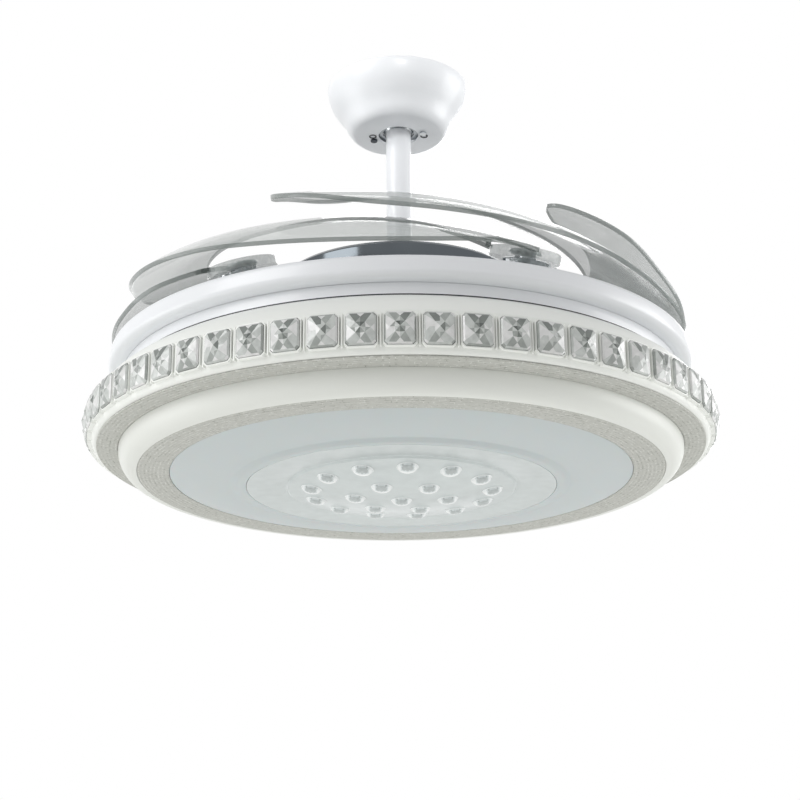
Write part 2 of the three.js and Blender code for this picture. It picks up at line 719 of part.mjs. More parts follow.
// Blade carrier: a flat star bolted under the motor, with a raised pilot that the sync plate turns on
const pilotHeight = 10;
const pilotInset = 10;
const pilotWall = 14;
const carrierThickness = 5;
const carrierOverhang = 2;
const carrierRimWidth = 72;
const armWidth = 26;
const armEndRadius = 16;
const pivotPinRadius = 5;
const pilotRadius = motorCoverRadius - pilotInset;
const carrierRimRadius = motorCoverRadius + carrierOverhang;
const carrierHoleRadius = carrierRimRadius - carrierRimWidth;
const carrierTop = shellBottom - seatGap - pilotHeight;
const carrierBottom = carrierTop - carrierThickness;
function arm(i) {
  const bar = block(pivotRadius - pilotRadius, armWidth, carrierBottom, carrierTop);
  bar.translate((pivotRadius + pilotRadius) / 2, 0, 0);
  const end = rod(armEndRadius, carrierBottom, carrierTop, smallSides).translate(pivotRadius, 0, 0);
  return join(bar, end).rotateZ(i * bladeStep);
}
function pivotHole(i) {
  const hole = rod(pivotPinRadius + seatGap, carrierBottom - overrun, carrierTop + overrun, tinySides);
  return hole.translate(pivotRadius, 0, 0).rotateZ(i * bladeStep);
}
const bladePlaces = Array.from({ length: bladeCount }, (_, i) => i);
add(rotor, "blade_carrier", cut(
  join(
    tube(carrierHoleRadius, carrierRimRadius, carrierBottom, carrierTop, midSides),
    tube(pilotRadius - pilotWall, pilotRadius, carrierBottom, carrierTop + pilotHeight, midSides),
    ...bladePlaces.map(arm),
  ),
  ...bladePlaces.map(pivotHole),
), steel);

// Gearing: one plate with five toothed sectors keeps the five blades in step through a toothed hub on each
const plateTeeth = 105;
const pinionTeeth = 14;
const gearThickness = 4;
const addendum = 2.4;
const rootClearance = 0.6;
const toothTipShare = 0.22;
const toothRootShare = 0.56;
const lastTooth = 6;
const pinionPitchRadius = pivotRadius * pinionTeeth / (plateTeeth + pinionTeeth);
const platePitchRadius = pivotRadius - pinionPitchRadius;
const gearBottom = carrierTop + seatGap;
const gearTop = gearBottom + gearThickness;
function toothPoints(pitchRadius, teeth, middleAngle) {
  const pitchAngle = 2 * Math.PI / teeth;
  const root = pitchRadius - addendum - rootClearance;
  const tip = pitchRadius + addendum;
  const corner = (radius, share, side) => onCircle(radius, middleAngle + side * pitchAngle * share / 2);
  return [
    corner(root, toothRootShare, -1),
    corner(tip, toothTipShare, -1),
    corner(tip, toothTipShare, 1),
    corner(root, toothRootShare, 1),
  ];
}
const plateHubInner = (pilotRadius + seatGap) / Math.cos(Math.PI / midSides);
const plateHubWidth = 10;
const plateHubOuter = plateHubInner + plateHubWidth;
const plateLegWidth = 18;
const sectorDepth = 9;
const platePitchAngle = 2 * Math.PI / plateTeeth;
const sectorMiddle = lastTooth / 2 * platePitchAngle;
const sectorRoot = platePitchRadius - addendum - rootClearance;
const toothPlaces = Array.from({ length: lastTooth + 1 }, (_, k) => k);
function sector(i) {
  const teeth = toothPlaces.flatMap((k) => toothPoints(platePitchRadius, plateTeeth, k * platePitchAngle));
  const firstAngle = -platePitchAngle;
  const lastAngle = (lastTooth + 1) * platePitchAngle;
  const inner = toothPlaces.map((k) => (
    onCircle(sectorRoot - sectorDepth, lastAngle + (firstAngle - lastAngle) * k / lastTooth)
  ));
  const outline = [onCircle(sectorRoot, firstAngle), ...teeth, onCircle(sectorRoot, lastAngle), ...inner];
  const head = plate(new THREE.Shape(outline), gearBottom, gearTop);
  const legLength = sectorRoot - sectorDepth / 2 - plateHubInner - plateHubWidth / 2;
  const leg = block(legLength, plateLegWidth, gearBottom, gearTop);
  leg.translate(plateHubInner + plateHubWidth / 2 + legLength / 2, 0, 0).rotateZ(sectorMiddle);
  return join(head, leg).rotateZ(i * bladeStep);
}
const syncPlate = groupIn(rotor);
add(syncPlate, "sync_plate", join(
  tube(plateHubInner, plateHubOuter, gearBottom, gearTop, midSides),
  ...bladePlaces.map(sector),
), steel);

// Blade: a clear crescent on a thick round root, folded over the lamp. Its stations stand at even steps along
// the span. Each gives the radius and height of the outer edge, then of the inner edge. Radii are shares of
// the blade's reach past its pivot, and heights are shares of the rise
const bladeSpan = THREE.MathUtils.degToRad(135);
const bladeRise = 60;
const bladeCamber = 7.7;
const bladeThickness = 4;
const rootRise = 23;
const rootDiscRadius = 31.5;
const rootDiscThickness = 9;
const rootTilt = THREE.MathUtils.degToRad(19.2);
const bladeStationShares = [
  [0.46, -0.194, -0.472, 0.18],
  [0.813, -0.332, -0.441, 0.342],
  [0.9, -0.43, -0.405, 0.487],
  [0.92, -0.415, -0.419, 0.573],
  [0.958, -0.341, -0.442, 0.632],
  [1, -0.223, -0.451, 0.684],
  [0.972, -0.096, -0.421, 0.748],
  [0.854, 0.053, -0.371, 0.802],
  [0.69, 0.245, -0.344, 0.842],
  [0.56, 0.51, -0.37, 0.88],
  [0.239, 0.819, -0.334, 1.014],
];
const tipRoundShare = 0.92;
const bladeCutShares = [
  0, 0.09, 0.18, 0.27, 0.36, 0.45, 0.54, 0.63, 0.72, 0.82, 0.92, 0.955, 0.98, 0.994, 0.9995,
];
const chordShares = [0, 0.5, 1];
const rootLevel = carrierTop + rootRise;
function edgeCurve(radiusColumn, heightColumn) {
  return new THREE.CatmullRomCurve3(bladeStationShares.map((station, i) => {
    const turn = -bladeSpan * i / (bladeStationShares.length - 1);
    const place = onCircle(pivotRadius + bladeReach * station[radiusColumn], turn);
    return new THREE.Vector3(place.x - pivotRadius, place.y, rootLevel + bladeRise * station[heightColumn]);
  }));
}
function bladeSheet() {
  const outerEdge = edgeCurve(0, 1);
  const innerEdge = edgeCurve(2, 3);
  const rows = bladeCutShares.map((share) => {
    const beyond = Math.max(0, (share - tipRoundShare) / (1 - tipRoundShare));
    const narrow = (1 - Math.sqrt(1 - beyond ** 2)) / 2;
    const outer = outerEdge.getPoint(share);
    const inner = innerEdge.getPoint(share);
    const bow = bladeCamber * Math.sqrt(Math.sin(Math.PI * share));
    return chordShares.map((chord) => {
      const across = narrow + chord * (1 - 2 * narrow);
      const point = outer.clone().lerp(inner, across);
      point.z += bow * 4 * across * (1 - across);
      return point;
    });
  });
  const half = bladeThickness / 2;
  const ring = rows.map((row) => [
    ...row.map((point) => [point.x, point.y, point.z + half]),
    ...row.toReversed().map((point) => [point.x, point.y, point.z - half]),
  ]);
  const size = 2 * chordShares.length;
  const index = [];
  for (let i = 0; i < ring.length - 1; i += 1) {
    for (let k = 0; k < size; k += 1) {
      const next = (k + 1) % size;
      const a = i * size + k;
      const b = i * size + next;
      index.push(a, b, b + size, a, b + size, a + size);
    }
  }
  const last = (ring.length - 1) * size;
  for (let k = 1; k < size - 1; k += 1) {
    index.push(0, k + 1, k);
    index.push(last, last + k, last + k + 1);
  }
  const sheet = new THREE.BufferGeometry();
  sheet.setAttribute("position", new THREE.Float32BufferAttribute(ring.flat(2), 3));
  sheet.setIndex(index);
  return sheet;
}
const discSides = 20;
function tiltedDisc(radius, bottom, top) {
  return rod(radius, bottom, top, discSides).rotateY(rootTilt).translate(0, 0, rootLevel);
}
const neckRadius = 9;
const capRadius = 14;
const capThickness = 3;
const holderClearance = 1.9;
const pinHeadRadius = 8.3;
const pinHeadHeight = 3;
const pinHeadSink = 1.5;
const pinFootRadius = 8;
const pinFootHeight = 2.7;
const discTop = bladeThickness / 2;
const discFoot = discTop - rootDiscThickness;
const capFoot = discTop - capThickness;
const neckBore = rod(neckRadius + seatGap, carrierBottom, rootLevel + 2 * rootDiscRadius, smallSides);
const bladeGeometry = cut(
  join(bladeSheet(), tiltedDisc(rootDiscRadius, discFoot, discTop)),
  neckBore,
  tiltedDisc(capRadius + seatGap, capFoot - seatGap, discTop + rootDiscThickness),
);
const capGeometry = cut(tiltedDisc(capRadius, capFoot, discTop), neckBore);

// Blade holder: pinion and hub on the pivot pin, cut off slanted so that the root lies pitched on it
const pinHeadTop = rootLevel + discTop - pinHeadSink;
const neckTopLevel = pinHeadTop - pinHeadHeight - seatGap;
const holderRadius = pinionPitchRadius - addendum - rootClearance - holderClearance;
const pinionPitchAngle = 2 * Math.PI / pinionTeeth;
function pinionTooth(k) {
  return toothPoints(pinionPitchRadius, pinionTeeth, Math.PI - (k + 1 / 2) * pinionPitchAngle);
}
const pinionOutline = toothPlaces.toReversed().flatMap(pinionTooth);
const pinion = plate(new THREE.Shape(pinionOutline), gearBottom, gearTop);
const slantedTop = tiltedDisc(2 * rootDiscRadius, discFoot - seatGap, 2 * rootDiscRadius);
const holderGeometry = cut(
  join(
    cut(join(pinion, rod(holderRadius, gearBottom, rootLevel + holderRadius, smallSides)), slantedTop),
    rod(neckRadius, gearBottom, neckTopLevel, smallSides),
  ),
  rod(pivotPinRadius + seatGap, gearBottom - overrun, neckTopLevel + overrun, smallSides),
);
const pinFoot = carrierBottom - seatGap - pinFootHeight;
const pinGeometry = join(
  rod(pivotPinRadius, pinFoot, pinHeadTop, tinySides),
  rod(pinFootRadius, pinFoot, pinFoot + pinFootHeight, tinySides),
  rod(pinHeadRadius, pinHeadTop - pinHeadHeight, pinHeadTop, tinySides),
);
bladePlaces.forEach((i) => {
  const pivot = groupIn(groupIn(rotor, i * bladeStep));
  pivot.position.x = pivotRadius;
  const number = i + 1;
  add(pivot, `blade_${number}`, bladeGeometry, clearAcrylic);
  add(pivot, `blade_holder_${number}`, holderGeometry, chrome);
  add(pivot, `blade_cap_${number}`, capGeometry, chrome);
  add(pivot, `pivot_pin_${number}`, pinGeometry, darkSteel);
});

export default fan;
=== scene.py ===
import math

import bmesh
import bpy
from mathutils import Matrix, Vector


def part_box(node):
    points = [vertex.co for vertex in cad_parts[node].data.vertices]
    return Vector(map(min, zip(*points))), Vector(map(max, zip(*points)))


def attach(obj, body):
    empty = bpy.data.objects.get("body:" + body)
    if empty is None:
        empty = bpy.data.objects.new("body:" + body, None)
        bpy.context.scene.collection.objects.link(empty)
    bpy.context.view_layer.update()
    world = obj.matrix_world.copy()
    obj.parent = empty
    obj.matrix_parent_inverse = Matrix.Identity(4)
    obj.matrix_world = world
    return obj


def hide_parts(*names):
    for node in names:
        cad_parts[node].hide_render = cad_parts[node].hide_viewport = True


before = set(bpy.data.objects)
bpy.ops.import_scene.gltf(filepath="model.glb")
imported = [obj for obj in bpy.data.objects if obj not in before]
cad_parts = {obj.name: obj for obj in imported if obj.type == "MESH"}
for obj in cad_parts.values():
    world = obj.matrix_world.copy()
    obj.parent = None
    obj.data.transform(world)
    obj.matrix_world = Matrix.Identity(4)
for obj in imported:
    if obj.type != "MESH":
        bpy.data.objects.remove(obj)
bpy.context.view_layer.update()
mm = 0.001


# Camera at the photograph's angle: it stands in front of the fan and below it, and looks up at the lamp.
# The distances are in the fan's own frame, and the lens gives the photograph's framing on a 36 mm sensor.
CAMERA_DISTANCE = 1458.7 * mm
CAMERA_DROP = 817.5 * mm
CAMERA_PITCH = math.radians(18.325)
CAMERA_YAW = math.radians(-0.0285)
CAMERA_ROLL = math.radians(-0.495)
LENS = 72
SENSOR = 36
VIEW_DEPTH = 20

forward = Vector((math.sin(CAMERA_YAW) * math.cos(CAMERA_PITCH),
                  math.cos(CAMERA_YAW) * math.cos(CAMERA_PITCH),
                  math.sin(CAMERA_PITCH)))
level_right = Vector((math.cos(CAMERA_YAW), -math.sin(CAMERA_YAW), 0))
level_up = level_right.cross(forward)
camera_right = level_right * math.cos(CAMERA_ROLL) + level_up * math.sin(CAMERA_ROLL)
camera_up = level_up * math.cos(CAMERA_ROLL) - level_right * math.sin(CAMERA_ROLL)
camera_data = bpy.data.cameras.new("photo_camera")
camera_data.lens = LENS
camera_data.sensor_width = SENSOR
camera_data.clip_end = VIEW_DEPTH
camera = bpy.data.objects.new("photo_camera", camera_data)
bpy.context.scene.collection.objects.link(camera)
camera_turn = Matrix((camera_right, camera_up, -forward)).transposed().to_4x4()
camera.matrix_world = Matrix.Translation((0, -CAMERA_DISTANCE, -CAMERA_DROP)) @ camera_turn
bpy.context.scene.camera = camera


# Ceiling bracket, its screws and the receiver: a bent strip of zinc-plated steel screwed to the ceiling.
# The canopy hides all of it, and the hanger ball sits in its saddle.
def linear(code):
    """The linear colour of an sRGB hex value."""
    channels = [int(code[i:i + 2], 16) / 255 for i in (1, 3, 5)]
    return [c / 12.92 if c <= 0.04045 else ((c + 0.055) / 1.055) ** 2.4 for c in channels] + [1.0]


def add_node(tree, kind, inputs=None, **settings):
    """Adds a node with its settings, and sets or links its inputs."""
    node = tree.nodes.new(kind)
    for name, value in settings.items():
        setattr(node, name, value)
    for name, value in (inputs or {}).items():
        if isinstance(value, bpy.types.NodeSocket):
            tree.links.new(value, node.inputs[name])
        else:
            node.inputs[name].default_value = value
    return node


ROUGHNESS_SPREAD = 0.15
BUMP_DEPTH = 0.1 * mm


def surface(name, colour, roughness, metallic=0.0, grain=4 * mm, mottle=0.04, bump=0.05, **sockets):
    """A material whose colour, roughness and height vary with a noise of the given grain size."""
    material = bpy.data.materials.new(name)
    material.use_nodes = True
    tree = material.node_tree
    shader = tree.nodes["Principled BSDF"]
    place = add_node(tree, "ShaderNodeTexCoord")
    noise = add_node(tree, "ShaderNodeTexNoise",
                     {"Vector": place.outputs["Object"], "Scale": 1 / grain, "Detail": 4.0})
    tone = add_node(tree, "ShaderNodeMix", {"Factor": noise.outputs["Fac"]}, data_type="RGBA")
    tone.inputs[6].default_value = [c * (1 - mottle) for c in linear(colour)[:3]] + [1]
    tone.inputs[7].default_value = [min(1, c * (1 + mottle)) for c in linear(colour)[:3]] + [1]
    tree.links.new(tone.outputs[2], shader.inputs["Base Color"])
    rough = add_node(tree, "ShaderNodeMapRange",
                     {"Value": noise.outputs["Fac"], "To Min": roughness * (1 - ROUGHNESS_SPREAD),
                      "To Max": roughness * (1 + ROUGHNESS_SPREAD)})
    tree.links.new(rough.outputs["Result"], shader.inputs["Roughness"])
    height = add_node(tree, "ShaderNodeBump",
                      {"Height": noise.outputs["Fac"], "Strength": bump, "Distance": BUMP_DEPTH})
    tree.links.new(height.outputs["Normal"], shader.inputs["Normal"])
    shader.inputs["Metallic"].default_value = metallic
    for socket, value in sockets.items():
        shader.inputs[socket.replace("_", " ")].default_value = value
    return material


# Zinc-plated steel: a soft grey metal with a faint cloudy bloom
zinc_plate = surface("zinc_plated_steel", "#B4B8BC", 0.34, metallic=1.0, grain=3 * mm, mottle=0.12)
# Blackened steel for screws and pins: dark, half dull
blackened_steel = surface("blackened_steel", "#50545A", 0.4, metallic=1.0, grain=1 * mm, mottle=0.2)
# Moulded ABS of the receiver and the magnets' ring: black, finely grained
black_abs = surface("black_abs", "#2B2D30", 0.5, grain=0.6 * mm, bump=0.2)


def dress(material, *names):
    """Gives CAD nodes that stay as they are a finished material."""
    for name in names:
        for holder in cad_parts[name].material_slots:
            holder.link = "OBJECT"
            holder.material = material


dress(zinc_plate, "ceiling_bracket", "bracket_screw_1", "bracket_screw_2", "yoke_bolt", "hub_nut",
      "tray_screw_1", "tray_screw_2", "tray_screw_3")
# canopy_screw_1 is blackened as painted shade: it is the same screw as canopy_screw_2, which is nickel-plated
# below.
dress(blackened_steel, "ball_pin", "yoke_clip", "canopy_screw_1")
dress(black_abs, "receiver_box")


# Canopy: a spun steel bell, enamelled cool white, which covers the bracket. Its bottom is flat, with a round
# hole for the rod and a rolled rim against the ceiling.
SMOOTH_STEPS = 160
SMALL_STEPS = 96
CREASE = math.radians(38)
MERGE_DISTANCE = 0.001 * mm


def turned(outline, steps=SMOOTH_STEPS):
    """A closed outline of (radius, height) points spun round the fan's axis."""
    shape = bmesh.new()
    ring = [shape.verts.new((radius, 0, height)) for radius, height in outline]
    edges = [shape.edges.new(pair) for pair in zip(ring, ring[1:] + ring[:1])]
    bmesh.ops.spin(shape, geom=ring + edges, axis=(0, 0, 1), cent=(0, 0, 0), angle=2 * math.pi,
                   steps=steps, use_merge=True)
    bmesh.ops.remove_doubles(shape, verts=shape.verts, dist=MERGE_DISTANCE)
    bmesh.ops.recalc_face_normals(shape, faces=shape.faces)
    return shape


def piece(name, shape, material, body, stands_for=(), edge=0, crease=CREASE):
    """Turns a bmesh into a finished piece that rides on a body and stands for CAD nodes."""
    mesh = bpy.data.meshes.new(name)
    shape.to_mesh(mesh)
    shape.free()
    mesh.shade_smooth()
    mesh.set_sharp_from_angle(angle=crease)
    thing = bpy.data.objects.new(name, mesh)
    bpy.context.scene.collection.objects.link(thing)
    for finish in (material if isinstance(material, list) else [material]):
        mesh.materials.append(finish)
    if edge:
        rounding = thing.modifiers.new("rounding", "BEVEL")
        rounding.width = edge
        rounding.segments = 3
        rounding.limit_method = "ANGLE"
        rounding.angle_limit = crease
    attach(thing, body)
    if stands_for:
        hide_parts(*stands_for)
    return thing


def box_sizes(node):
    """The radius, lowest and highest level of a round CAD node."""
    low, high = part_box(node)
    return high[0], low[2], high[2]


# Enamelled steel, bright white: a smooth gloss with a faint orange peel
bright_white = surface("white_enamel", "#F2F4F7", 0.32, grain=1.5 * mm, mottle=0.012, bump=0.03,
                       Coat_Weight=0.15)
CANOPY_WALL = 1.6 * mm
CANOPY_HOLE = 20 * mm
canopy_curve_shares = [(0.985, 0.0), (0.997, 0.015), (1.0, 0.05), (0.995, 0.1), (0.987, 0.16), (0.972, 0.24),
                       (0.95, 0.32), (0.93, 0.38), (0.905, 0.435), (0.875, 0.5), (0.845, 0.56), (0.81, 0.62),
                       (0.78, 0.68), (0.755, 0.74), (0.735, 0.8), (0.715, 0.86), (0.69, 0.91), (0.66, 0.955),
                       (0.63, 0.985), (0.6, 1.0)]
canopy_radius, canopy_low, canopy_high = box_sizes("canopy")
canopy_depth = canopy_high - canopy_low
canopy_outer = [(canopy_radius * r, canopy_high - canopy_depth * d) for r, d in canopy_curve_shares]
canopy_inner = [(r - CANOPY_WALL, max(z, canopy_low + CANOPY_WALL)) for r, z in reversed(canopy_outer)]
canopy_rim = [(CANOPY_HOLE, canopy_low), (CANOPY_HOLE, canopy_low + CANOPY_WALL)]
piece("canopy_bell", turned(canopy_outer + canopy_rim + canopy_inner), bright_white, "ceiling",
      ["canopy"], edge=0.5 * mm)


# Canopy shadow rings: two small black rings round the heads of the screws that hold the canopy to its
# bracket, pressed against its flat bottom. They are painted shadow: the dark ring of shade round each head.
SHADOW_RING_STEPS = 32
SCREW_SPREAD = 26 * mm
SHADOW_RING_INNER = 2.6 * mm
SHADOW_RING_OUTER = 3.8 * mm
SHADOW_RING_HEIGHT = 0.6 * mm
shadow_rings = bmesh.new()
one_shadow_ring = bpy.data.meshes.new("one_shadow_ring")
for side in (-1, 1):
    shadow_ring = turned([(SHADOW_RING_INNER, canopy_low - SHADOW_RING_HEIGHT), (SHADOW_RING_OUTER, canopy_low - SHADOW_RING_HEIGHT),
                     (SHADOW_RING_OUTER, canopy_low), (SHADOW_RING_INNER, canopy_low)], SHADOW_RING_STEPS)
    shadow_ring.transform(Matrix.Translation((side * SCREW_SPREAD, 0, 0)))
    shadow_ring.to_mesh(one_shadow_ring)
    shadow_ring.free()
    shadow_rings.from_mesh(one_shadow_ring)
bpy.data.meshes.remove(one_shadow_ring)
piece("canopy_shadow_rings", shadow_rings, black_abs, "ceiling", edge=0.2 * mm)


# Hanger ball: a steel ball with a turning slot, resting in the bracket's saddle and seen in the canopy's
# hole. The white downrod hangs in it on the cross pin.
BALL_SLOT_ANGLE = math.radians(-80)
BALL_SLOT_HALF = math.radians(7)
BALL_SLOT_DEPTH = 4 * mm
BALL_SLOT_WALL = 1 * mm
BALL_CENTRE_SHARE = 0.73
STEEPEST_SLOT_FACE = 0.9
ROD_GAP = 0.3 * mm
ball_radius, ball_low, ball_high = box_sizes("hanger_ball")
rod_radius, rod_low, rod_high = box_sizes("downrod")
ball_centre = ball_low + ball_radius * BALL_CENTRE_SHARE
ball_arc_steps = 20
ball_start = math.asin((ball_low - ball_centre) / ball_radius)
ball_end = math.asin((ball_high - ball_centre) / ball_radius)
ball_arc = []
for step in range(ball_arc_steps + 1):
    lift = ball_start + (ball_end - ball_start) * step / ball_arc_steps
    ball_arc.append((ball_radius * math.cos(lift), ball_centre + ball_radius * math.sin(lift)))
ball_bore = [(rod_radius + ROD_GAP, ball_high), (rod_radius + ROD_GAP, ball_low)]
ball_shape = turned(ball_arc + ball_bore, SMALL_STEPS)
slot_floor = rod_radius + BALL_SLOT_WALL
slot_faces = []
for face in ball_shape.faces:
    centre = face.calc_center_median()
    turn = math.atan2(centre.y, centre.x)
    if abs(turn - BALL_SLOT_ANGLE) < BALL_SLOT_HALF and centre.xy.length > slot_floor:
        if abs(face.normal.z) < STEEPEST_SLOT_FACE:
            slot_faces.append(face)
sunk = bmesh.ops.extrude_face_region(ball_shape, geom=slot_faces)
for corner in [item for item in sunk["geom"] if isinstance(item, bmesh.types.BMVert)]:
    reach = corner.co.xy.length
    corner.co.xy *= max(slot_floor, reach - BALL_SLOT_DEPTH) / reach
bmesh.ops.delete(ball_shape, geom=slot_faces, context="FACES")
# Turned steel, nickel-plated: bright, with a thin smear of wear
nickel_plate = surface("nickel_plated_steel", "#C9CDD0", 0.2, metallic=1.0, grain=2 * mm, mottle=0.1)
dress(nickel_plate, "canopy_screw_2")
piece("hanger_ball_turned", ball_shape, nickel_plate, "hanger", ["hanger_ball"],
      crease=math.radians(30))

ROD_WALL = 2 * mm
piece("downrod_tube", turned([
    (rod_radius, rod_low), (rod_radius, rod_high), (rod_radius - ROD_WALL, rod_high),
    (rod_radius - ROD_WALL, rod_low),
], SMALL_STEPS), bright_white, "hanger", ["downrod"], edge=0.4 * mm)


# Yoke: a turned steel collar with a flange, pressed on the motor shaft and bolted through the rod's foot.
COLLAR_SHARE = 18 / 26
FLANGE_SHARE = 4 / 22
yoke_radius, yoke_low, yoke_high = box_sizes("rod_yoke")
yoke_floor = yoke_low + (yoke_high - yoke_low) * FLANGE_SHARE
shaft_radius = 9 * mm
piece("rod_yoke_turned", turned([
    (shaft_radius + ROD_GAP, yoke_low), (yoke_radius, yoke_low), (yoke_radius, yoke_floor),
    (yoke_radius * COLLAR_SHARE, yoke_floor), (yoke_radius * COLLAR_SHARE, yoke_high),
    (rod_radius + ROD_GAP, yoke_high), (rod_radius + ROD_GAP, yoke_floor),
    (shaft_radius + ROD_GAP, yoke_floor),
], SMALL_STEPS), zinc_plate, "hanger", ["rod_yoke"], edge=0.8 * mm)


# Motor: a deep-drawn cover, chromed, over a rotor of two pressed shells with magnets round a wound core.
# The cover's top edge is a narrow bright bevel, and its wall is coloured dark as a painted reflection of the
# dark gap above the tray.
COVER_WALL = 1.6 * mm
COVER_BEVEL = 4 * mm
COVER_HOLE = 30 * mm
cover_radius, cover_low, cover_high = box_sizes("motor_cover")
cover_inner = cover_radius - COVER_WALL
# Chromed steel with a polished gloss, coloured dark: a painted reflection of the dark gap above the tray
chrome_painted_dark_reflection = surface("chromed_steel_cover", "#585D61", 0.12, metallic=1.0, grain=30 * mm, mottle=0.08)
cover_shape = turned([
    (COVER_HOLE, cover_high), (cover_radius - COVER_BEVEL, cover_high),
    (cover_radius, cover_high - COVER_BEVEL), (cover_radius, cover_low),
    (cover_inner, cover_low), (cover_inner, cover_high - COVER_BEVEL),
    (cover_inner - COVER_BEVEL + COVER_WALL, cover_high - COVER_WALL), (COVER_HOLE, cover_high - COVER_WALL),
])
piece("motor_cover_drawn", cover_shape, chrome_painted_dark_reflection, "rotor", ["motor_cover"], edge=0.8 * mm)
# Enamelled copper wire, wound round the core's teeth: orange-brown with a varnish shine
copper_wire = surface("enamelled_copper", "#B87333", 0.35, metallic=1.0, grain=0.8 * mm, mottle=0.25,
                      bump=0.4)
# Electrical steel, stacked in thin sheets and varnished: dark grey
core_steel = surface("core_steel", "#5C6066", 0.5, metallic=1.0, grain=0.5 * mm, mottle=0.15, bump=0.3)
# Cold-rolled steel sheet, pressed and lightly oiled: mid grey with long clouds
pressed_steel = surface("pressed_steel", "#9EA3A8", 0.36, metallic=1.0, grain=12 * mm, mottle=0.1)
dress(copper_wire, "stator_winding")
dress(core_steel, "stator_core")
dress(pressed_steel, "rotor_upper_shell", "rotor_lower_shell", "motor_shaft", "lamp_hub")
dress(black_abs, "magnet_ring")
dress(nickel_plate, "upper_bearing", "lower_bearing")


# Blade carrier and sync plate: punched steel plates under the motor. The carrier's arms hold the pivot pins,
# and the sync plate's toothed sectors turn the five hubs together. Both are the CAD nodes, with broken edges.
WELD_DISTANCE = 0.01 * mm
FLAT_WITHIN = math.radians(1)


def broken_edges(name, node, material, body, edge):
    """A copy of a CAD node's mesh with its edges broken."""
    shape = bmesh.new()
    shape.from_mesh(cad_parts[node].data)
    shape.transform(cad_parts[node].matrix_world)
    bmesh.ops.remove_doubles(shape, verts=shape.verts, dist=WELD_DISTANCE)
    bmesh.ops.dissolve_limit(shape, angle_limit=FLAT_WITHIN, verts=shape.verts, edges=shape.edges)
    return piece(name, shape, material, body, [node], edge=edge)


broken_edges("blade_carrier_plate", "blade_carrier", zinc_plate, "rotor", 0.5 * mm)
broken_edges("sync_plate_punched", "sync_plate", pressed_steel, "sync", 0.3 * mm)


# Folding blades: five crescents moulded in clear acrylic, each with a thick round root that lies pitched on
# its toothed hub, with a chromed cap let into it. They sweep clockwise from their pivots and rise to their
# tips.
BLADES = 5
PIVOT_RADIUS = 212 * mm
FIRST_PIVOT = math.radians(-59)
BLADE_STEP = 2 * math.pi / BLADES
BLADE_REACH = 68 * mm
BLADE_SPAN = math.radians(135)
BLADE_RISE = 60 * mm
BLADE_CAMBER = 7.7 * mm
BLADE_WALL = 4 * mm
ROOT_RADIUS = 31.5 * mm
ROOT_TOP = 2 * mm
ROOT_FOOT = -7 * mm
ROOT_TILT = math.radians(19.2)
ROOT_LEVEL = -261.5 * mm
CAP_RADIUS = 14 * mm
CAP_WALL = 3 * mm
NECK_RADIUS = 9 * mm
SEAT_GAP = 0.3 * mm
# Radius and height of the outer edge, then of the inner edge, at even steps along the span
blade_station_shares = [
    (0.46, -0.194, -0.472, 0.18), (0.813, -0.332, -0.441, 0.342), (0.9, -0.43, -0.405, 0.487),
    (0.92, -0.415, -0.419, 0.573), (0.958, -0.341, -0.442, 0.632), (1.0, -0.223, -0.451, 0.684),
    (0.972, -0.096, -0.421, 0.748), (0.854, 0.053, -0.371, 0.802), (0.69, 0.245, -0.344, 0.842),
    (0.56, 0.51, -0.37, 0.88), (0.239, 0.819, -0.334, 1.014),
]
TIP_ROUND_SHARE = 0.92
SHEET_START_SHARE = 0.02
SHEET_SPAN_SHARE = 0.9795
TIP_CROWDING = 1.4
SHEET_IN_ROOT = 3 * mm
ROOT_STEPS = 72
CAP_STEPS = 64


def smooth_share(column, share):
    """A value of the blade's stations at a share of its span, on a smooth curve through them."""
    rows = [station[column] for station in blade_station_shares]
    before = min(int(share * (len(rows) - 1)), len(rows) - 2)
    t = share * (len(rows) - 1) - before
    start, end = rows[before], rows[before + 1]
    start_slope = (end - rows[before - 1]) / 2 if before > 0 else end - start
    end_slope = (rows[before + 2] - start) / 2 if before < len(rows) - 2 else end - start
    return ((2 * t ** 3 - 3 * t ** 2 + 1) * start + (t ** 3 - 2 * t ** 2 + t) * start_slope
            + (3 * t ** 2 - 2 * t ** 3) * end + (t ** 3 - t ** 2) * end_slope)


def blade_point(along, across):
    """A point of a blade's middle surface, from its root to its tip and from its outer to its inner edge."""
    beyond = max(0, (along - TIP_ROUND_SHARE) / (1 - TIP_ROUND_SHARE))
    narrow = (1 - math.sqrt(max(0, 1 - beyond ** 2))) / 2
    across = narrow + across * (1 - 2 * narrow)
    turn = -BLADE_SPAN * along
    edges = []
    for radius_column, height_column in ((0, 1), (2, 3)):
        radius = PIVOT_RADIUS + BLADE_REACH * smooth_share(radius_column, along)
        height = ROOT_LEVEL + BLADE_RISE * smooth_share(height_column, along)
        edges.append(Vector((radius * math.cos(turn), radius * math.sin(turn), height)))
    point = edges[0].lerp(edges[1], across)
    bow = BLADE_CAMBER * math.sqrt(max(0, math.sin(math.pi * along)))
    point.z += bow * 4 * across * (1 - across)
    return point


def blade_sheet():
    """The thin part of a blade, as a curved grid that ends inside the root's rim."""
    shape = bmesh.new()
    bmesh.ops.create_grid(shape, x_segments=84, y_segments=14, size=1)
    for corner in shape.verts:
        share = (corner.co.x + 1) / 2
        along = SHEET_START_SHARE + SHEET_SPAN_SHARE * (1 - (1 - share) ** TIP_CROWDING)
        corner.co = blade_point(along, (corner.co.y + 1) / 2)
    hidden = [corner for corner in shape.verts
              if (corner.co.xy - Vector((PIVOT_RADIUS, 0))).length < ROOT_RADIUS - SHEET_IN_ROOT]
    bmesh.ops.delete(shape, geom=hidden, context="VERTS")
    bmesh.ops.recalc_face_normals(shape, faces=shape.faces)
    return shape


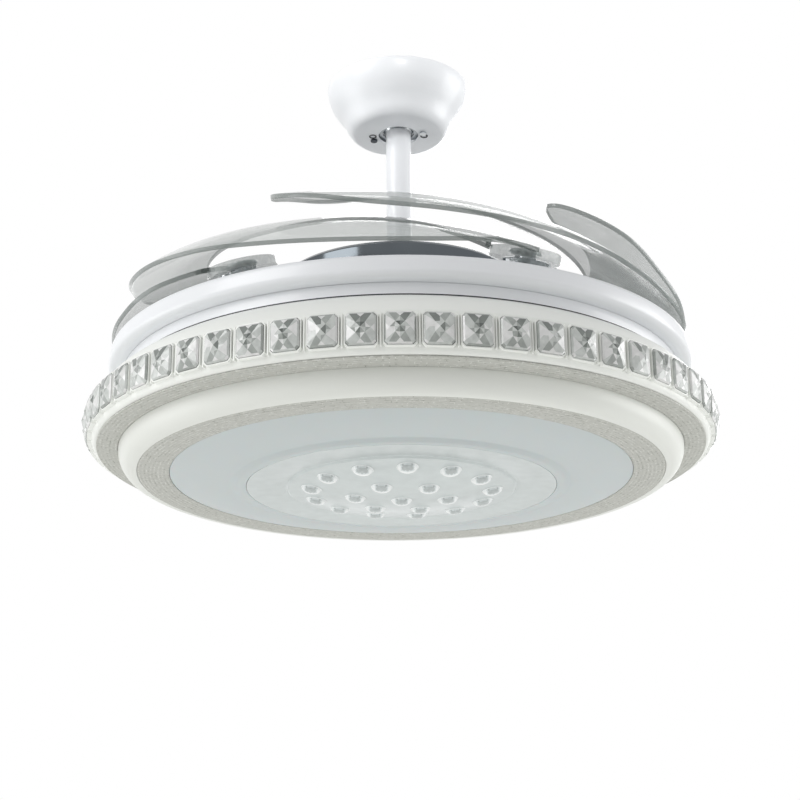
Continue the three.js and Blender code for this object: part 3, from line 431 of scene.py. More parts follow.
def pitched(shape):
    """Tilts a shape made on the axis as the blade roots lie, and moves it to the first pivot."""
    turn = Matrix.Translation((PIVOT_RADIUS, 0, ROOT_LEVEL)) @ Matrix.Rotation(ROOT_TILT, 4, "Y")
    shape.transform(turn)
    return shape


# Acrylic, injection moulded and tinted a weak grey-green: each face lets part of the light straight through,
# so that two faces together look milky and overlapping blades look darker. The cut edges are darker and
# denser: partly the tint seen through the edge's length, partly painted shade for the dark line the edges
# show.
clear_acrylic = surface("clear_blade_acrylic", "#BDC4C0", 0.08, grain=25 * mm, mottle=0.06, bump=0.02,
                        IOR=1.49, Alpha=0.4)
edge_acrylic_tint_and_painted_shade = surface("blade_edge_acrylic", "#747C79", 0.12, grain=25 * mm, mottle=0.06, bump=0.02,
                       IOR=1.49, Alpha=0.8)
# The roots' strong mottle of light and dark patches is painted sparkle: painted glints and dark reflections
# in the thick acrylic.
root_acrylic_painted_glints = surface("blade_root_acrylic", "#D2D8D6", 0.06, grain=5 * mm, mottle=0.4, bump=0.3,
                       IOR=1.49, Alpha=0.45)
# Chromed zinc castings: hub, cap and pivot hardware, polished
bright_chrome = surface("chromed_zinc", "#D9DCDF", 0.1, metallic=1.0, grain=8 * mm, mottle=0.05)

bore = NECK_RADIUS + SEAT_GAP
pocket_foot = ROOT_TOP - CAP_WALL - SEAT_GAP
for i in range(BLADES):
    number = i + 1
    body = f"folding_blade_{number}"
    station = Matrix.Rotation(FIRST_PIVOT + i * BLADE_STEP, 4, "Z")

    sheet_shape = blade_sheet()
    sheet_shape.transform(station)
    sheet = piece(f"blade_sheet_{number}", sheet_shape, [clear_acrylic, edge_acrylic_tint_and_painted_shade], body,
                  [f"blade_{number}"], crease=math.radians(60))
    wall = sheet.modifiers.new("wall", "SOLIDIFY")
    wall.thickness = BLADE_WALL
    wall.offset = 0
    wall.material_offset_rim = 1
    rounding = sheet.modifiers.new("rounding", "BEVEL")
    rounding.width = 0.9 * mm
    rounding.segments = 2
    rounding.limit_method = "ANGLE"
    rounding.angle_limit = math.radians(50)

    root = pitched(turned([(bore, ROOT_FOOT), (ROOT_RADIUS, ROOT_FOOT), (ROOT_RADIUS, ROOT_TOP),
                           (CAP_RADIUS + SEAT_GAP, ROOT_TOP), (CAP_RADIUS + SEAT_GAP, pocket_foot),
                           (bore, pocket_foot)], ROOT_STEPS))
    root.transform(station)
    piece(f"blade_root_{number}", root, root_acrylic_painted_glints, body, edge=1.2 * mm)

    cap = pitched(turned([(bore, ROOT_TOP - CAP_WALL), (CAP_RADIUS, ROOT_TOP - CAP_WALL),
                          (CAP_RADIUS, ROOT_TOP), (bore, ROOT_TOP)], CAP_STEPS))
    cap.transform(station)
    piece(f"blade_cap_chromed_{number}", cap, bright_chrome, body, [f"blade_cap_{number}"],
          edge=0.8 * mm)

    broken_edges(f"blade_hub_{number}", f"blade_holder_{number}", bright_chrome, body, 0.4 * mm)
    dress(blackened_steel, f"pivot_pin_{number}")


# Lamp tray: a spun steel pan, powder-coated cool white, whose wall bulges slightly and turns in at the foot.
# The hub and its nut clamp it on the motor's shaft, and the neck and the crystal ring hang below it.
TRAY_WALL = 3 * mm
TRAY_FLOOR = 2.5 * mm
TRAY_BULGE = 0.8 * mm
TRAY_FOOT_HEIGHT = 6 * mm
TRAY_FOOT_INSET = 9.5 * mm
TRAY_RIM_ROUND = 1.6 * mm
TRAY_RIM_POWER = 8
TRAY_STEPS = 200
tray_radius, tray_low, tray_high = box_sizes("lamp_tray")
tray_steps = 12
tray_foot_top = tray_low + TRAY_FOOT_HEIGHT
tray_wall_curve = []
for step in range(tray_steps + 1):
    turn = math.pi / 2 * step / tray_steps
    tray_wall_curve.append((tray_radius - TRAY_FOOT_INSET * (1 - math.sin(turn)),
                            tray_foot_top - TRAY_FOOT_HEIGHT * math.cos(turn)))
for step in range(1, tray_steps + 1):
    lift = step / tray_steps
    drawn_in = TRAY_BULGE * (1 - math.cos(math.pi / 2 * lift)) + TRAY_RIM_ROUND * lift ** TRAY_RIM_POWER
    tray_wall_curve.append((tray_radius - drawn_in, tray_foot_top + (tray_high - tray_foot_top) * lift))
# Powder-coated steel, cool white: a smooth gloss with a faint orange peel
cool_white = surface("white_powder_coat", "#E8EAED", 0.32, grain=1.5 * mm, mottle=0.012, bump=0.03,
                     Coat_Weight=0.15)
piece("lamp_tray_spun", turned([(shaft_radius + ROD_GAP, tray_low)] + tray_wall_curve + [
    (tray_radius - TRAY_WALL - TRAY_BULGE, tray_high), (tray_radius - TRAY_WALL - TRAY_BULGE, tray_foot_top),
    (tray_radius - TRAY_FOOT_INSET - TRAY_WALL, tray_low + TRAY_FLOOR),
    (shaft_radius + ROD_GAP, tray_low + TRAY_FLOOR),
], TRAY_STEPS), cool_white, "hanger", ["lamp_tray"], edge=0.6 * mm, crease=math.radians(50))


# Neck ring: a steel spacer powder-coated like the tray, which the tray's screws run through. A thin black
# ring at its foot is painted shadow: the dark line of shade in the gap where the neck meets the crystal ring.
NECK_WALL = 8 * mm
NECK_SHADOW_LINE = 1.3 * mm
neck_radius, neck_low, neck_high = box_sizes("crystal_ring_neck")
neck_turn = neck_low + NECK_SHADOW_LINE
piece("neck_shadow_line", turned([
    (neck_radius - NECK_WALL, neck_low), (neck_radius, neck_low), (neck_radius, neck_turn),
    (neck_radius - NECK_WALL, neck_turn),
], TRAY_STEPS), black_abs, "hanger")
piece("neck_spacer", turned([
    (neck_radius - NECK_WALL, neck_turn), (neck_radius, neck_turn), (neck_radius, neck_high),
    (neck_radius - NECK_WALL, neck_high),
], TRAY_STEPS), cool_white, "hanger", ["crystal_ring_neck"])


# Crystal ring: a warm white moulded band with a sloping shoulder and a lip under it. A thin raised bezel
# stands round each crystal, and narrow posts stand between the bezels.
CRYSTALS = 60
CRYSTAL_STEP = 2 * math.pi / CRYSTALS
BAND_RADIUS = 290 * mm
BAND_WALL = 2.5 * mm
BAND_FOOT_INSET = 5 * mm
BAND_FOOT_HEIGHT = 7 * mm
BAND_BORE = 150 * mm
LIP_INNER = 255 * mm
LIP_WALL = 2 * mm
FLANGE_WALL = 2 * mm
SHOULDER_WIDTH = 25 * mm
SHOULDER_DROP = 23 * mm
SHOULDER_BULGE = 1.6 * mm
BAND_STEPS = 240
band_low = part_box("crystal_ring_frame")[0][2]
band_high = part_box("crystal_ring_frame")[1][2]
band_inner = BAND_RADIUS - BAND_WALL
foot_steps = 8
band_foot = []
for step in range(foot_steps + 1):
    turn = math.pi / 2 * step / foot_steps
    band_foot.append((BAND_RADIUS - BAND_FOOT_INSET * (1 - math.sin(turn)),
                      band_low + BAND_FOOT_HEIGHT * (1 - math.cos(turn))))
shoulder_steps = 12
shoulder = []
for step in range(shoulder_steps + 1):
    climb = step / shoulder_steps
    bulge = SHOULDER_BULGE * math.sin(math.pi * climb)
    shoulder.append((BAND_RADIUS - SHOULDER_WIDTH * climb + min(bulge, SHOULDER_WIDTH * climb),
                     band_high - SHOULDER_DROP * (1 - climb) + min(bulge, SHOULDER_DROP * (1 - climb))))
# Moulded ABS, painted warm white: satin, very even
warm_white = surface("warm_white_abs", "#EFF1ED", 0.38, grain=1.2 * mm, mottle=0.012, bump=0.04)
piece("crystal_ring_band", turned([
    (BAND_BORE, band_high - FLANGE_WALL), (band_inner - SHOULDER_WIDTH, band_high - FLANGE_WALL),
    (band_inner, band_high - SHOULDER_DROP - FLANGE_WALL),
    (band_inner - BAND_FOOT_INSET, band_low + LIP_WALL), (LIP_INNER, band_low + LIP_WALL),
    (LIP_INNER, band_low),
] + band_foot + shoulder + [(BAND_BORE, band_high)], BAND_STEPS),
      warm_white, "hanger", ["crystal_ring_frame"], crease=math.radians(50))

CRYSTAL_WIDTH = 25.2 * mm
CRYSTAL_HEIGHT = 27.4 * mm
CRYSTAL_CORNER = 2.6 * mm
BEZEL_RIM = 0.9 * mm
BEZEL_PROUD = 3.6 * mm
BEZEL_SEAT = 0.5 * mm
POST_DEPTH = 3.4 * mm
POST_WIDTH = 1.3 * mm
POST_PROUD = 0.9 * mm
crystal_low, crystal_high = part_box("crystal_strip")[0][2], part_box("crystal_strip")[1][2]
crystal_middle = (crystal_low + crystal_high) / 2
first_crystal = -math.pi / 2


def cut_square(shape, half_width, half_height, corner, reach):
    """The eight corners of a square with cut corners, upright at the given distance from the axis."""
    places = []
    for side_x, side_z in ((1, -1), (1, 1), (-1, 1), (-1, -1)):
        two = [(side_x * half_width, side_z * (half_height - corner)),
               (side_x * (half_width - corner), side_z * half_height)]
        places += two if side_x * side_z < 0 else two[::-1]
    ordered = sorted(places, key=lambda place: math.atan2(place[1], place[0]))
    return [shape.verts.new((reach, y, crystal_middle + z)) for y, z in ordered]


def ring_of(shape, count, first_turn):
    """Turns a shape to its first place and repeats it round the axis."""
    shape.transform(Matrix.Rotation(first_turn, 4, "Z"))
    bmesh.ops.spin(shape, geom=shape.verts[:] + shape.edges[:] + shape.faces[:], axis=(0, 0, 1),
                   cent=(0, 0, 0), angle=2 * math.pi * (count - 1) / count, steps=count - 1,
                   use_duplicate=True)
    return shape


bezel = bmesh.new()
half_width = CRYSTAL_WIDTH / 2
half_height = CRYSTAL_HEIGHT / 2
back = BAND_RADIUS - BEZEL_SEAT
outer_rim = cut_square(bezel, half_width + BEZEL_RIM, half_height + BEZEL_RIM, CRYSTAL_CORNER, back)
inner_rim = cut_square(bezel, half_width, half_height, CRYSTAL_CORNER, back)
for i in range(8):
    bezel.faces.new((outer_rim[i], outer_rim[i - 1], inner_rim[i - 1], inner_rim[i]))
raised = bmesh.ops.extrude_face_region(bezel, geom=bezel.faces[:])
bmesh.ops.translate(bezel, vec=(BEZEL_PROUD + BEZEL_SEAT, 0, 0),
                    verts=[item for item in raised["geom"] if isinstance(item, bmesh.types.BMVert)])
bmesh.ops.recalc_face_normals(bezel, faces=bezel.faces)
post = bmesh.ops.create_cube(bezel, size=1)["verts"]
bmesh.ops.scale(bezel, vec=(POST_DEPTH, POST_WIDTH, CRYSTAL_HEIGHT + BEZEL_RIM), verts=post)
bmesh.ops.translate(bezel, vec=(BAND_RADIUS + POST_PROUD, 0, crystal_middle), verts=post)
bmesh.ops.rotate(bezel, verts=post, cent=(0, 0, 0), matrix=Matrix.Rotation(CRYSTAL_STEP / 2, 3, "Z"))
piece("crystal_bezels", ring_of(bezel, CRYSTALS, first_crystal), warm_white, "hanger",
      crease=math.radians(30))


# Crystals: square pressed-glass stones with cut corners, sixty of them, set flat in their bezels. Four large
# facets meet in the middle as a cross, with small ones at the middle of each side and round the point. Each
# facet's tone is a painted reflection, and the small side facets are painted bright as highlights.
STONE_GIRDLE = 4.2 * mm
STONE_BEVEL = 1.2 * mm
STONE_RISE = 3.6 * mm
STONE_INSET = 0.3 * mm
SPARK_WIDTH_SHARE = 0.34
SPARK_DEPTH_SHARE = 0.26
HEART_SHARE = 0.38
CORNER_CLOSING = 0.4 * mm
SPARK_PROUD = 0.35 * mm
HEART_SUNK = 0.25 * mm
stone_back = BAND_RADIUS + SEAT_GAP
# Pressed lead glass with a foiled back: each facet's tone is a painted reflection, clear white, pale grey,
# grey-green and dark
GLASS_REFLECTION_TONES = ("#DADDDA", "#F8F9F7", "#CFD3D0", "#A9AEAA", "#7F8581", "#5A605C")
stone_glass_painted_reflections = [surface(f"pressed_glass_{number}", tone, 0.04, grain=5 * mm, mottle=0.3, bump=0.0, IOR=1.55,
                       Transmission_Weight=0.15) for number, tone in enumerate(GLASS_REFLECTION_TONES)]
# The painted reflection tones that a side's wings, inner wings and heart take in turn: right, top, left and
# bottom side
facet_reflection_tones = (((2, 1, 2), (2, 3, 1), (3, 2, 4)), ((4, 3, 4), (2, 4, 3), (4, 5, 2)),
               ((1, 1, 2), (1, 2, 3), (2, 3, 1)), ((3, 3, 2), (2, 3, 1), (3, 4, 2)))


def cut_stone(number):
    """One faceted stone on the +X side. Its number picks how the light falls in each facet."""
    shape = bmesh.new()
    reach = stone_back + STONE_GIRDLE + STONE_BEVEL
    wide, tall = half_width - STONE_INSET, half_height - STONE_INSET
    loops = [cut_square(shape, wide, tall, CRYSTAL_CORNER, stone_back),
             cut_square(shape, wide, tall, CRYSTAL_CORNER, stone_back + STONE_GIRDLE),
             cut_square(shape, wide - STONE_BEVEL, tall - STONE_BEVEL, CRYSTAL_CORNER - CORNER_CLOSING,
                        reach)]
    shape.faces.new(loops[0][::-1])
    for low, high in zip(loops, loops[1:]):
        for i in range(8):
            rim = shape.faces.new((low[i], low[i - 1], high[i - 1], high[i]))
            rim.material_index = (3, 2, 1, 2)[(i + number) % 4]
    crown = loops[2]
    point = shape.verts.new((reach + STONE_RISE, 0, crystal_middle))
    first_corner = next(i for i in range(8) if crown[i].co.y > 0 and crown[i].co.z < crystal_middle
                        and crown[(i + 1) % 8].co.z > crystal_middle)
    crown = crown[first_corner:] + crown[:first_corner]
    hearts = [shape.verts.new(((crown[2 * i - 1].co + crown[2 * i].co) / 2).lerp(point.co, 1 - HEART_SHARE))
              for i in range(4)]
    for side, (wings, inner, heart) in enumerate(facet_reflection_tones):
        first, last = crown[2 * side], crown[2 * side + 1]
        near, far = hearts[side], hearts[(side + 1) % 4]
        middle = (first.co + last.co) / 2
        spark = [shape.verts.new(middle.lerp(end.co, SPARK_WIDTH_SHARE)) for end in (first, last)]
        spark_in = shape.verts.new(middle.lerp(point.co, SPARK_DEPTH_SHARE) + Vector((SPARK_PROUD, 0, 0)))
        heart_out = shape.verts.new(middle.lerp(point.co, 1 - HEART_SHARE) - Vector((HEART_SUNK, 0, 0)))
        pick = number * 7 + side * 3
        facets = (((first, spark[0], spark_in, near), wings[pick % 3]),
                  ((spark[1], last, far, spark_in), wings[(pick + 1) % 3]),
                  ((near, spark_in, heart_out), inner[(pick + 2) % 3]),
                  ((spark_in, far, heart_out), inner[pick % 3]),
                  ((near, heart_out, point), heart[(pick + number) % 3]),
                  ((heart_out, far, point), heart[(pick + 1) % 3]),
                  ((spark[0], spark[1], spark_in), 1))
        for corners, tone in facets:
            shape.faces.new(corners).material_index = tone
        shape.faces.new((crown[2 * side - 1], first, near)).material_index = 2
    bmesh.ops.holes_fill(shape, edges=[edge for edge in shape.edges if edge.is_boundary])
    bmesh.ops.recalc_face_normals(shape, faces=shape.faces)
    shape.transform(Matrix.Rotation(first_crystal + number * CRYSTAL_STEP, 4, "Z"))
    return shape


stones = bmesh.new()
one_stone = bpy.data.meshes.new("one_stone")
for number in range(CRYSTALS):
    cut = cut_stone(number)
    cut.to_mesh(one_stone)
    cut.free()
    stones.from_mesh(one_stone)
bpy.data.meshes.remove(one_stone)
piece("crystal_stones", stones, stone_glass_painted_reflections, "hanger", ["crystal_strip"], crease=math.radians(3))


# Textured rings: two flat bands of moulded ABS, greyish white, with a pressed pattern of short stitches in
# rows, like fine masonry. The outer lies under the crystal ring's lip, the inner in the ivory ring's foot.
STITCH = 9 * mm
ROW = 3.6 * mm
STITCH_GAP = 0.45 * mm
STITCHED_RADIUS = 250 * mm
WOBBLE_SIZE = 9 * mm
WOBBLE_DEPTH = 2 * mm
PATCH_SIZE = 4 * mm
PATCH_SHIFT = 40


def stitched(name, colour, dark_mark, light_mark):
    """A material with short dark and light stitches in rows round the fan's axis."""
    material = surface(name, colour, 0.6, grain=2 * mm, mottle=0.05, bump=0.1)
    tree = material.node_tree
    shader = tree.nodes["Principled BSDF"]
    place = add_node(tree, "ShaderNodeTexCoord")
    parts = add_node(tree, "ShaderNodeSeparateXYZ", {"Vector": place.outputs["Object"]})
    turn = add_node(tree, "ShaderNodeMath", {0: parts.outputs["Y"], 1: parts.outputs["X"]},
                    operation="ARCTAN2")
    flat = add_node(tree, "ShaderNodeVectorMath", {0: place.outputs["Object"], 1: (1, 1, 0)},
                    operation="MULTIPLY")
    reach = add_node(tree, "ShaderNodeVectorMath", {0: flat.outputs["Vector"]}, operation="LENGTH")
    arc = add_node(tree, "ShaderNodeMath", {0: turn.outputs["Value"], 1: STITCHED_RADIUS},
                   operation="MULTIPLY")
    tone = shader.inputs["Base Color"].links[0].from_socket
    for mark, rows_aside, low, high in ((dark_mark, 0, 0.5, 0.66), (light_mark, ROW / 2, 0.48, 0.6)):
        wobble = add_node(tree, "ShaderNodeTexNoise",
                          {"Vector": place.outputs["Object"], "Scale": 1 / WOBBLE_SIZE})
        shift = add_node(tree, "ShaderNodeMath", {0: wobble.outputs["Fac"], 1: WOBBLE_DEPTH, 2: rows_aside},
                         operation="MULTIPLY_ADD")
        bent = add_node(tree, "ShaderNodeMath", {0: reach.outputs["Value"], 1: shift.outputs["Value"]},
                        operation="ADD")
        plane = add_node(tree, "ShaderNodeCombineXYZ",
                         {"X": arc.outputs["Value"], "Y": bent.outputs["Value"]})
        bricks = add_node(tree, "ShaderNodeTexBrick",
                          {"Vector": plane.outputs["Vector"], "Scale": 1.0, "Mortar Size": STITCH_GAP,
                           "Mortar Smooth": 0.6, "Brick Width": STITCH, "Row Height": ROW,
                           "Color1": (1, 1, 1, 1), "Color2": (1, 1, 1, 1), "Mortar": (0, 0, 0, 1)})
        moved = add_node(tree, "ShaderNodeVectorMath",
                         {0: place.outputs["Object"], 1: (rows_aside * PATCH_SHIFT, 0, 0)}, operation="ADD")
        patches = add_node(tree, "ShaderNodeTexNoise",
                           {"Vector": moved.outputs["Vector"], "Scale": 1 / PATCH_SIZE})
        gate = add_node(tree, "ShaderNodeMapRange",
                        {"Value": patches.outputs["Fac"], "From Min": low, "From Max": high})
        mask = add_node(tree, "ShaderNodeMath", {0: bricks.outputs["Fac"], 1: gate.outputs["Result"]},
                        operation="MULTIPLY")
        mixed = add_node(tree, "ShaderNodeMix", {"Factor": mask.outputs["Value"]}, data_type="RGBA")
        tree.links.new(tone, mixed.inputs[6])
        mixed.inputs[7].default_value = linear(mark)
        tone = mixed.outputs[2]
    tree.links.new(tone, shader.inputs["Base Color"])
    return material


stitched_abs = stitched("stitched_abs", "#BBBCB6", "#86887F", "#D6D7D2")
outer_low, outer_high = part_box("outer_texture_ring")[0][2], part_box("outer_texture_ring")[1][2]
OUTER_RING_EDGE = 285 * mm
OUTER_RING_LIP = 1.25 * mm
IVORY_TOP = 265 * mm
IVORY_FOOT = 249.8 * mm
piece("outer_texture_band", turned([
    (IVORY_TOP + SEAT_GAP, outer_high), (IVORY_TOP + SEAT_GAP, outer_low),
    (OUTER_RING_EDGE, outer_high - OUTER_RING_LIP), (OUTER_RING_EDGE, outer_high),
], BAND_STEPS), stitched_abs, "hanger", ["outer_texture_ring"], edge=0.4 * mm)
inner_low, inner_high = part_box("inner_texture_ring")[0][2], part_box("inner_texture_ring")[1][2]
ivory_low, ivory_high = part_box("ivory_step_ring")[0][2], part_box("ivory_step_ring")[1][2]
IVORY_WALL = 2.5 * mm
INNER_FLAT = 237 * mm
INNER_TURN = 230 * mm
INNER_TURN_RISE = 0.6 * mm
DIFFUSER_EDGE = 217.2 * mm
LEDGE = 3 * mm
inner_edge = IVORY_FOOT - IVORY_WALL - SEAT_GAP
piece("inner_texture_band", turned([
    (DIFFUSER_EDGE + SEAT_GAP, ivory_low), (INNER_TURN, inner_low + INNER_TURN_RISE), (INNER_FLAT, inner_low),
    (inner_edge, ivory_low), (inner_edge, ivory_low + LEDGE + SEAT_GAP),
    (IVORY_FOOT, ivory_low + LEDGE + SEAT_GAP), (IVORY_FOOT, inner_high),
    (DIFFUSER_EDGE + SEAT_GAP, inner_high),
], BAND_STEPS), stitched_abs, "hanger", ["inner_texture_ring"], edge=0.3 * mm)


# Ivory step ring: a moulded ring, painted warm white, that steps down from the crystal ring to the diffuser.
# Its face is one full round, and its foot has a ledge that the inner textured ring lies on.
IVORY_INSIDE_SHARE = 0.6
IVORY_LEDGE_WIDTH = 2 * mm
ivory_steps = 16
ivory_spread = IVORY_TOP - IVORY_FOOT
ivory_face = []
for step in range(ivory_steps + 1):
    turn = math.pi / 2 * step / ivory_steps
    ivory_face.append((IVORY_TOP - ivory_spread * (1 - math.cos(turn)),
                       outer_low - (outer_low - ivory_low) * math.sin(turn)))
ivory_inside = [(radius - IVORY_WALL, height + IVORY_WALL * IVORY_INSIDE_SHARE)
                for radius, height in ivory_face[2:-5]]
# Moulded ABS in the same warm white, a shade deeper
deep_ivory = surface("ivory_abs", "#E4E6E1", 0.38, grain=1.2 * mm, mottle=0.012, bump=0.04)
ivory_head = [(IVORY_TOP - IVORY_WALL, ivory_high), (IVORY_TOP, ivory_high)]
piece("ivory_step_band", turned(ivory_head + ivory_face + [
    (IVORY_FOOT - IVORY_WALL, ivory_low), (IVORY_FOOT - IVORY_WALL, ivory_low + LEDGE),
    (IVORY_FOOT + IVORY_LEDGE_WIDTH, ivory_low + LEDGE),
] + ivory_inside[::-1], BAND_STEPS), deep_ivory, "hanger", ["ivory_step_ring"],
      crease=math.radians(50))


# Diffuser: a shallow dish of opal acrylic, sandblasted, with a flange that lies on the inner ring and a
# stepped lip round the lens plate. It is pale blue-grey when the lamp is off.
diffuser_low, diffuser_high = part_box("diffuser")[0][2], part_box("diffuser")[1][2]
DIFFUSER_WALL = 2.5 * mm
DIFFUSER_FLANGE = 12 * mm
MOUTH = 146 * mm
STEP_RADIUS = 155 * mm
STEP_RISE = 2.5 * mm
DISH_POWER = 2.2
DISH_INSIDE = 0.6 * mm
diffuser_edge_level = ivory_low + SEAT_GAP
flange_low = diffuser_high - DIFFUSER_WALL
dish_steps = 14
dish = []
for step in range(dish_steps + 1):
    share = step / dish_steps
    radius = STEP_RADIUS + STEP_RISE + (DIFFUSER_EDGE - STEP_RADIUS - STEP_RISE) * share
    sag = (diffuser_edge_level - diffuser_low - STEP_RISE) * (1 - share ** DISH_POWER)
    dish.append((radius, diffuser_edge_level - sag))
dish_inside = [(radius - DISH_INSIDE, level + DIFFUSER_WALL) for radius, level in dish[:-1]]
# Opal acrylic, frosted: a soft even scatter with a weak satin shine
opal_acrylic = surface("opal_acrylic", "#C2C9CA", 0.42, grain=40 * mm, mottle=0.02, bump=0.02,
                       Subsurface_Weight=0.15, Subsurface_Scale=0.01)
piece("diffuser_dish", turned([(MOUTH, diffuser_low), (STEP_RADIUS, diffuser_low)] + dish + [
    (DIFFUSER_EDGE, flange_low), (DIFFUSER_EDGE + DIFFUSER_FLANGE, flange_low),
    (DIFFUSER_EDGE + DIFFUSER_FLANGE, diffuser_high), (DIFFUSER_EDGE - DIFFUSER_WALL, diffuser_high),
] + dish_inside[::-1] + [
    (STEP_RADIUS, diffuser_low + DIFFUSER_WALL), (MOUTH, diffuser_low + DIFFUSER_WALL),
], BAND_STEPS), opal_acrylic, "hanger", ["diffuser"], edge=0.5 * mm, crease=math.radians(50))


# Lens plate: a moulded acrylic disc in the diffuser's mouth. Its middle field bulges down and holds twenty
# domed lenses, one in the middle and two rings round it, each over a small grey light chip.
LENS_FIELD = 108.8 * mm
FIELD_FLAT = 13.8 * mm
FIELD_DROP = 1 * mm
FIELD_RIM_WIDTH = 2 * mm
FIELD_RIM_RISE = 0.1 * mm
FIELD_GROOVE = 3 * mm
GROOVE_DEPTH = 1 * mm
PLATE_SAG = 10 * mm
LENS_RADIUS = 9.4 * mm
LENS_BULGE = 5 * mm
PLATE_WALL = 3 * mm
PLATE_RIM = 5 * mm
PLATE_STEPS = 200
sag_steps = 12
plate_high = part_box("lens_plate")[1][2]
plate_low = diffuser_low - FIELD_DROP
plate_edge = MOUTH - SEAT_GAP
sag_radius = LENS_FIELD - FIELD_FLAT


def sag_level(reach):
    """The level of the plate's lower face at a distance from the axis."""
    return plate_low - PLATE_SAG * max(0, 1 - (reach / sag_radius) ** 2)


sag_curve = [(sag_radius * k / sag_steps, sag_level(sag_radius * k / sag_steps))
             for k in range(sag_steps + 1)]
# Clear acrylic, moulded with a fine matt back: pale and glossy
lens_acrylic = surface("lens_plate_acrylic", "#CBD2D2", 0.22, grain=12 * mm, mottle=0.09, bump=0.02)
piece("lens_plate_moulded", turned(sag_curve + [
    (LENS_FIELD - FIELD_RIM_WIDTH, plate_low + FIELD_RIM_RISE), (LENS_FIELD, diffuser_low + GROOVE_DEPTH),
    (LENS_FIELD + FIELD_GROOVE, diffuser_low + GROOVE_DEPTH), (LENS_FIELD + 2 * FIELD_GROOVE, diffuser_low),
    (plate_edge, diffuser_low), (plate_edge, plate_high - PLATE_WALL),
    (MOUTH + PLATE_RIM, plate_high - PLATE_WALL),
    (MOUTH + PLATE_RIM, plate_high), (plate_edge - PLATE_WALL, plate_high),
    (plate_edge - PLATE_WALL, plate_low + PLATE_WALL),
] + [(radius, level + PLATE_WALL) for radius, level in sag_curve[::-1]], PLATE_STEPS),
      lens_acrylic, "hanger", ["lens_plate"], edge=0.4 * mm, crease=math.radians(25))

# Lenses: a count, the distance from the axis and the angle of the first
lens_rows = [(1, 0.0, 0.0), (6, 43.7 * mm, math.radians(-54.6)), (13, 85.5 * mm, math.radians(-86.3))]
lens_arc_steps = 8
LENS_STEPS = 32
LENS_SUNK = 0.4 * mm
BEAD_RADIUS = 0.6 * mm
CHIP_HALF = 4.9 * mm
CHIP_NEAR = 8.2 * mm
CHIP_FAR = 2.4 * mm
CHIP_BACK = 4.4 * mm
BRIGHT_FROM = 6 * mm
BRIGHT_BEHIND = -0.6 * mm


def lens_shape(make_one):
    """The shape that a function makes on a lens's own axis, repeated at every lens."""
    whole = bpy.data.meshes.new("lens_rows")
    shape = bmesh.new()
    for count, reach, first_turn in lens_rows:
        for i in range(count):
            one = make_one()
            turn = first_turn + i * 2 * math.pi / count
            place = (reach * math.cos(turn), reach * math.sin(turn), sag_level(reach))
            slope = math.atan(2 * PLATE_SAG * reach / sag_radius ** 2)
            across = (math.sin(turn), -math.cos(turn), 0)
            one.transform(Matrix.Translation(place) @ Matrix.Rotation(slope, 4, across))
            one.to_mesh(whole)
            one.free()
            shape.from_mesh(whole)
    bpy.data.meshes.remove(whole)
    return shape


def dome_shape():
    """A lens with a flat back inside the plate, clouded by its chip in front, with a painted highlight
    towards its rim.
    """
    arc = [(LENS_RADIUS * math.sin(math.pi / 2 * k / lens_arc_steps),
            -LENS_BULGE * math.cos(math.pi / 2 * k / lens_arc_steps)) for k in range(lens_arc_steps + 1)]
    shape = turned(arc + [(LENS_RADIUS, LENS_SUNK), (0, LENS_SUNK)], LENS_STEPS)
    for face in shape.faces:
        x, y, z = face.calc_center_median()
        if abs(x) < CHIP_HALF and (CHIP_FAR < -y < CHIP_NEAR or CHIP_BACK < y < CHIP_NEAR):
            face.material_index = 1
        elif abs(x) > BRIGHT_FROM or y > BRIGHT_BEHIND:
            face.material_index = 2
    return shape


def bead_shape():
    """The round bead at a lens's foot, which carries a painted highlight ring."""
    ring = [(LENS_RADIUS + BEAD_RADIUS * math.cos(turn), BEAD_RADIUS * math.sin(turn))
            for turn in (k * math.pi / 4 for k in range(8))]
    return turned(ring, LENS_STEPS)


# Acrylic, polished in the mould: milky, grey over the chip, with a sharp gloss; the bright part towards the
# rim and the beads are a painted highlight
lens_pale = surface("lens_acrylic_pale", "#DCE2E3", 0.05, grain=3 * mm, mottle=0.08, bump=0.0, IOR=1.49)
lens_grey = surface("lens_acrylic_over_chip", "#BEC4C4", 0.05, grain=3 * mm, mottle=0.25, bump=0.0, IOR=1.49)
lens_painted_highlight = surface("lens_acrylic_painted_highlight", "#F3F6F6", 0.08, grain=3 * mm, mottle=0.04, bump=0.0, IOR=1.49)
piece("lens_domes", lens_shape(dome_shape), [lens_pale, lens_grey, lens_painted_highlight], "hanger",
      crease=math.radians(60))
piece("lens_beads", lens_shape(bead_shape), lens_painted_highlight, "hanger", crease=math.radians(80))


# Light board and driver: a white printed board ring under the crystal ring's flange, and the driver in its
# white case in the neck above. Both are hidden when the lamp is whole.
board_mask = surface("white_solder_mask", "#E9ECE6", 0.5, grain=2 * mm, mottle=0.03)
case_abs = surface("driver_case_abs", "#E4E4DF", 0.5, grain=0.8 * mm, mottle=0.02, bump=0.2)
dress(board_mask, "led_board")
dress(case_abs, "led_driver")


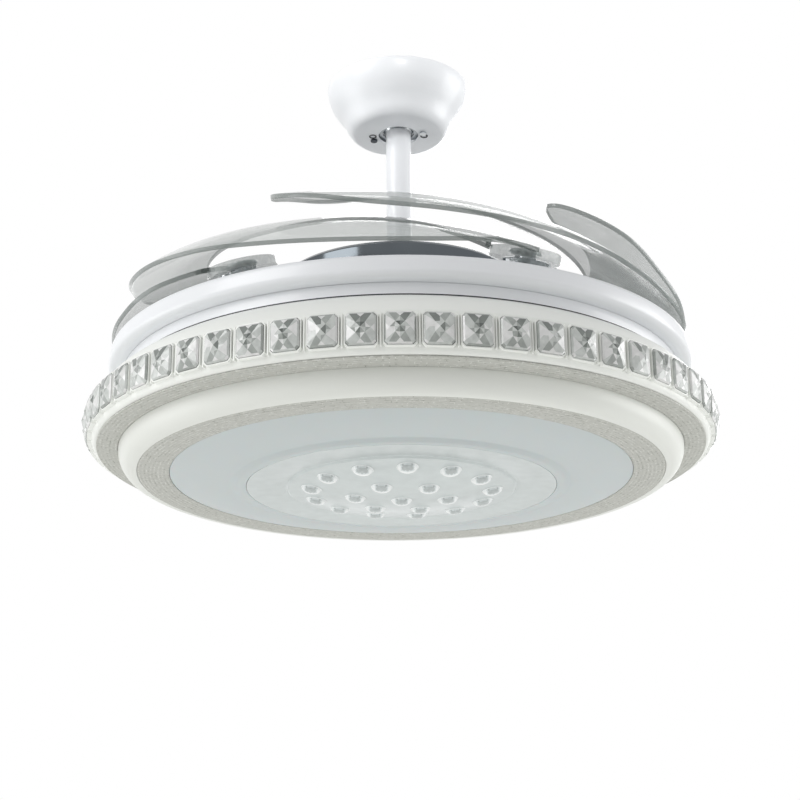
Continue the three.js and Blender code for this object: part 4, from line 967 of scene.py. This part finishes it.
# Studio: a pale floor well below the fan, an even white surround, four large soft lamps and a narrow one
# for the canopy.
FLOOR_LEVEL = -1.25
FLOOR_SIZE = 9
floor_mesh = bmesh.new()
bmesh.ops.create_grid(floor_mesh, x_segments=1, y_segments=1, size=FLOOR_SIZE / 2)
bmesh.ops.translate(floor_mesh, vec=(0, 0, FLOOR_LEVEL), verts=floor_mesh.verts)
floor_data = bpy.data.meshes.new("studio_floor")
floor_mesh.to_mesh(floor_data)
floor_mesh.free()
floor = bpy.data.objects.new("studio_floor", floor_data)
bpy.context.scene.collection.objects.link(floor)
floor_data.materials.append(surface("pale_floor", "#F4F4F2", 0.7, grain=60 * mm, mottle=0.01))

SURROUND_LEVEL = 0.5
world = bpy.data.worlds.new("studio")
bpy.context.scene.world = world
world.use_nodes = True
surround = world.node_tree
rays = add_node(surround, "ShaderNodeLightPath")
seen = add_node(surround, "ShaderNodeMath",
                {0: rays.outputs["Is Camera Ray"], 1: rays.outputs["Is Glossy Ray"]}, operation="ADD")
seen_through = add_node(surround, "ShaderNodeMath",
                        {0: seen.outputs["Value"], 1: rays.outputs["Is Transmission Ray"]}, operation="ADD",
                        use_clamp=True)
level = add_node(surround, "ShaderNodeMapRange",
                 {"Value": seen_through.outputs["Value"], "To Min": SURROUND_LEVEL, "To Max": 1.0})
background = surround.nodes["Background"]
background.inputs["Color"].default_value = (1, 1, 1, 1)
surround.links.new(level.outputs["Result"], background.inputs["Strength"])


def soft_lamp(name, place, target, size, power, spread=180):
    """A square soft lamp aimed at a point, with a honeycomb in front where its spread is narrow."""
    data = bpy.data.lights.new(name, "AREA")
    data.size = size
    data.energy = power
    data.spread = math.radians(spread)
    lamp = bpy.data.objects.new(name, data)
    bpy.context.scene.collection.objects.link(lamp)
    aim = (Vector(target) - Vector(place)).to_track_quat("-Z", "Y")
    lamp.matrix_world = Matrix.Translation(place) @ aim.to_matrix().to_4x4()


fan_middle = (0, 0, -0.3)
soft_lamp("left_lamp", (-2.2, -1.6, 0.9), fan_middle, 1.6, 33)
soft_lamp("side_lamp", (1.8, 0.2, -0.2), fan_middle, 1.2, 15)
soft_lamp("low_left_lamp", (-1.7, 0.0, -0.75), fan_middle, 0.9, 5.6)
soft_lamp("back_lamp", (0.6, 2.4, 0.8), fan_middle, 1.6, 32)
soft_lamp("canopy_lamp", (0.1, -1.2, 0.15), (0, 0, 0), 0.25, 0.08, 24)

bpy.context.scene.view_settings.view_transform = "Standard"
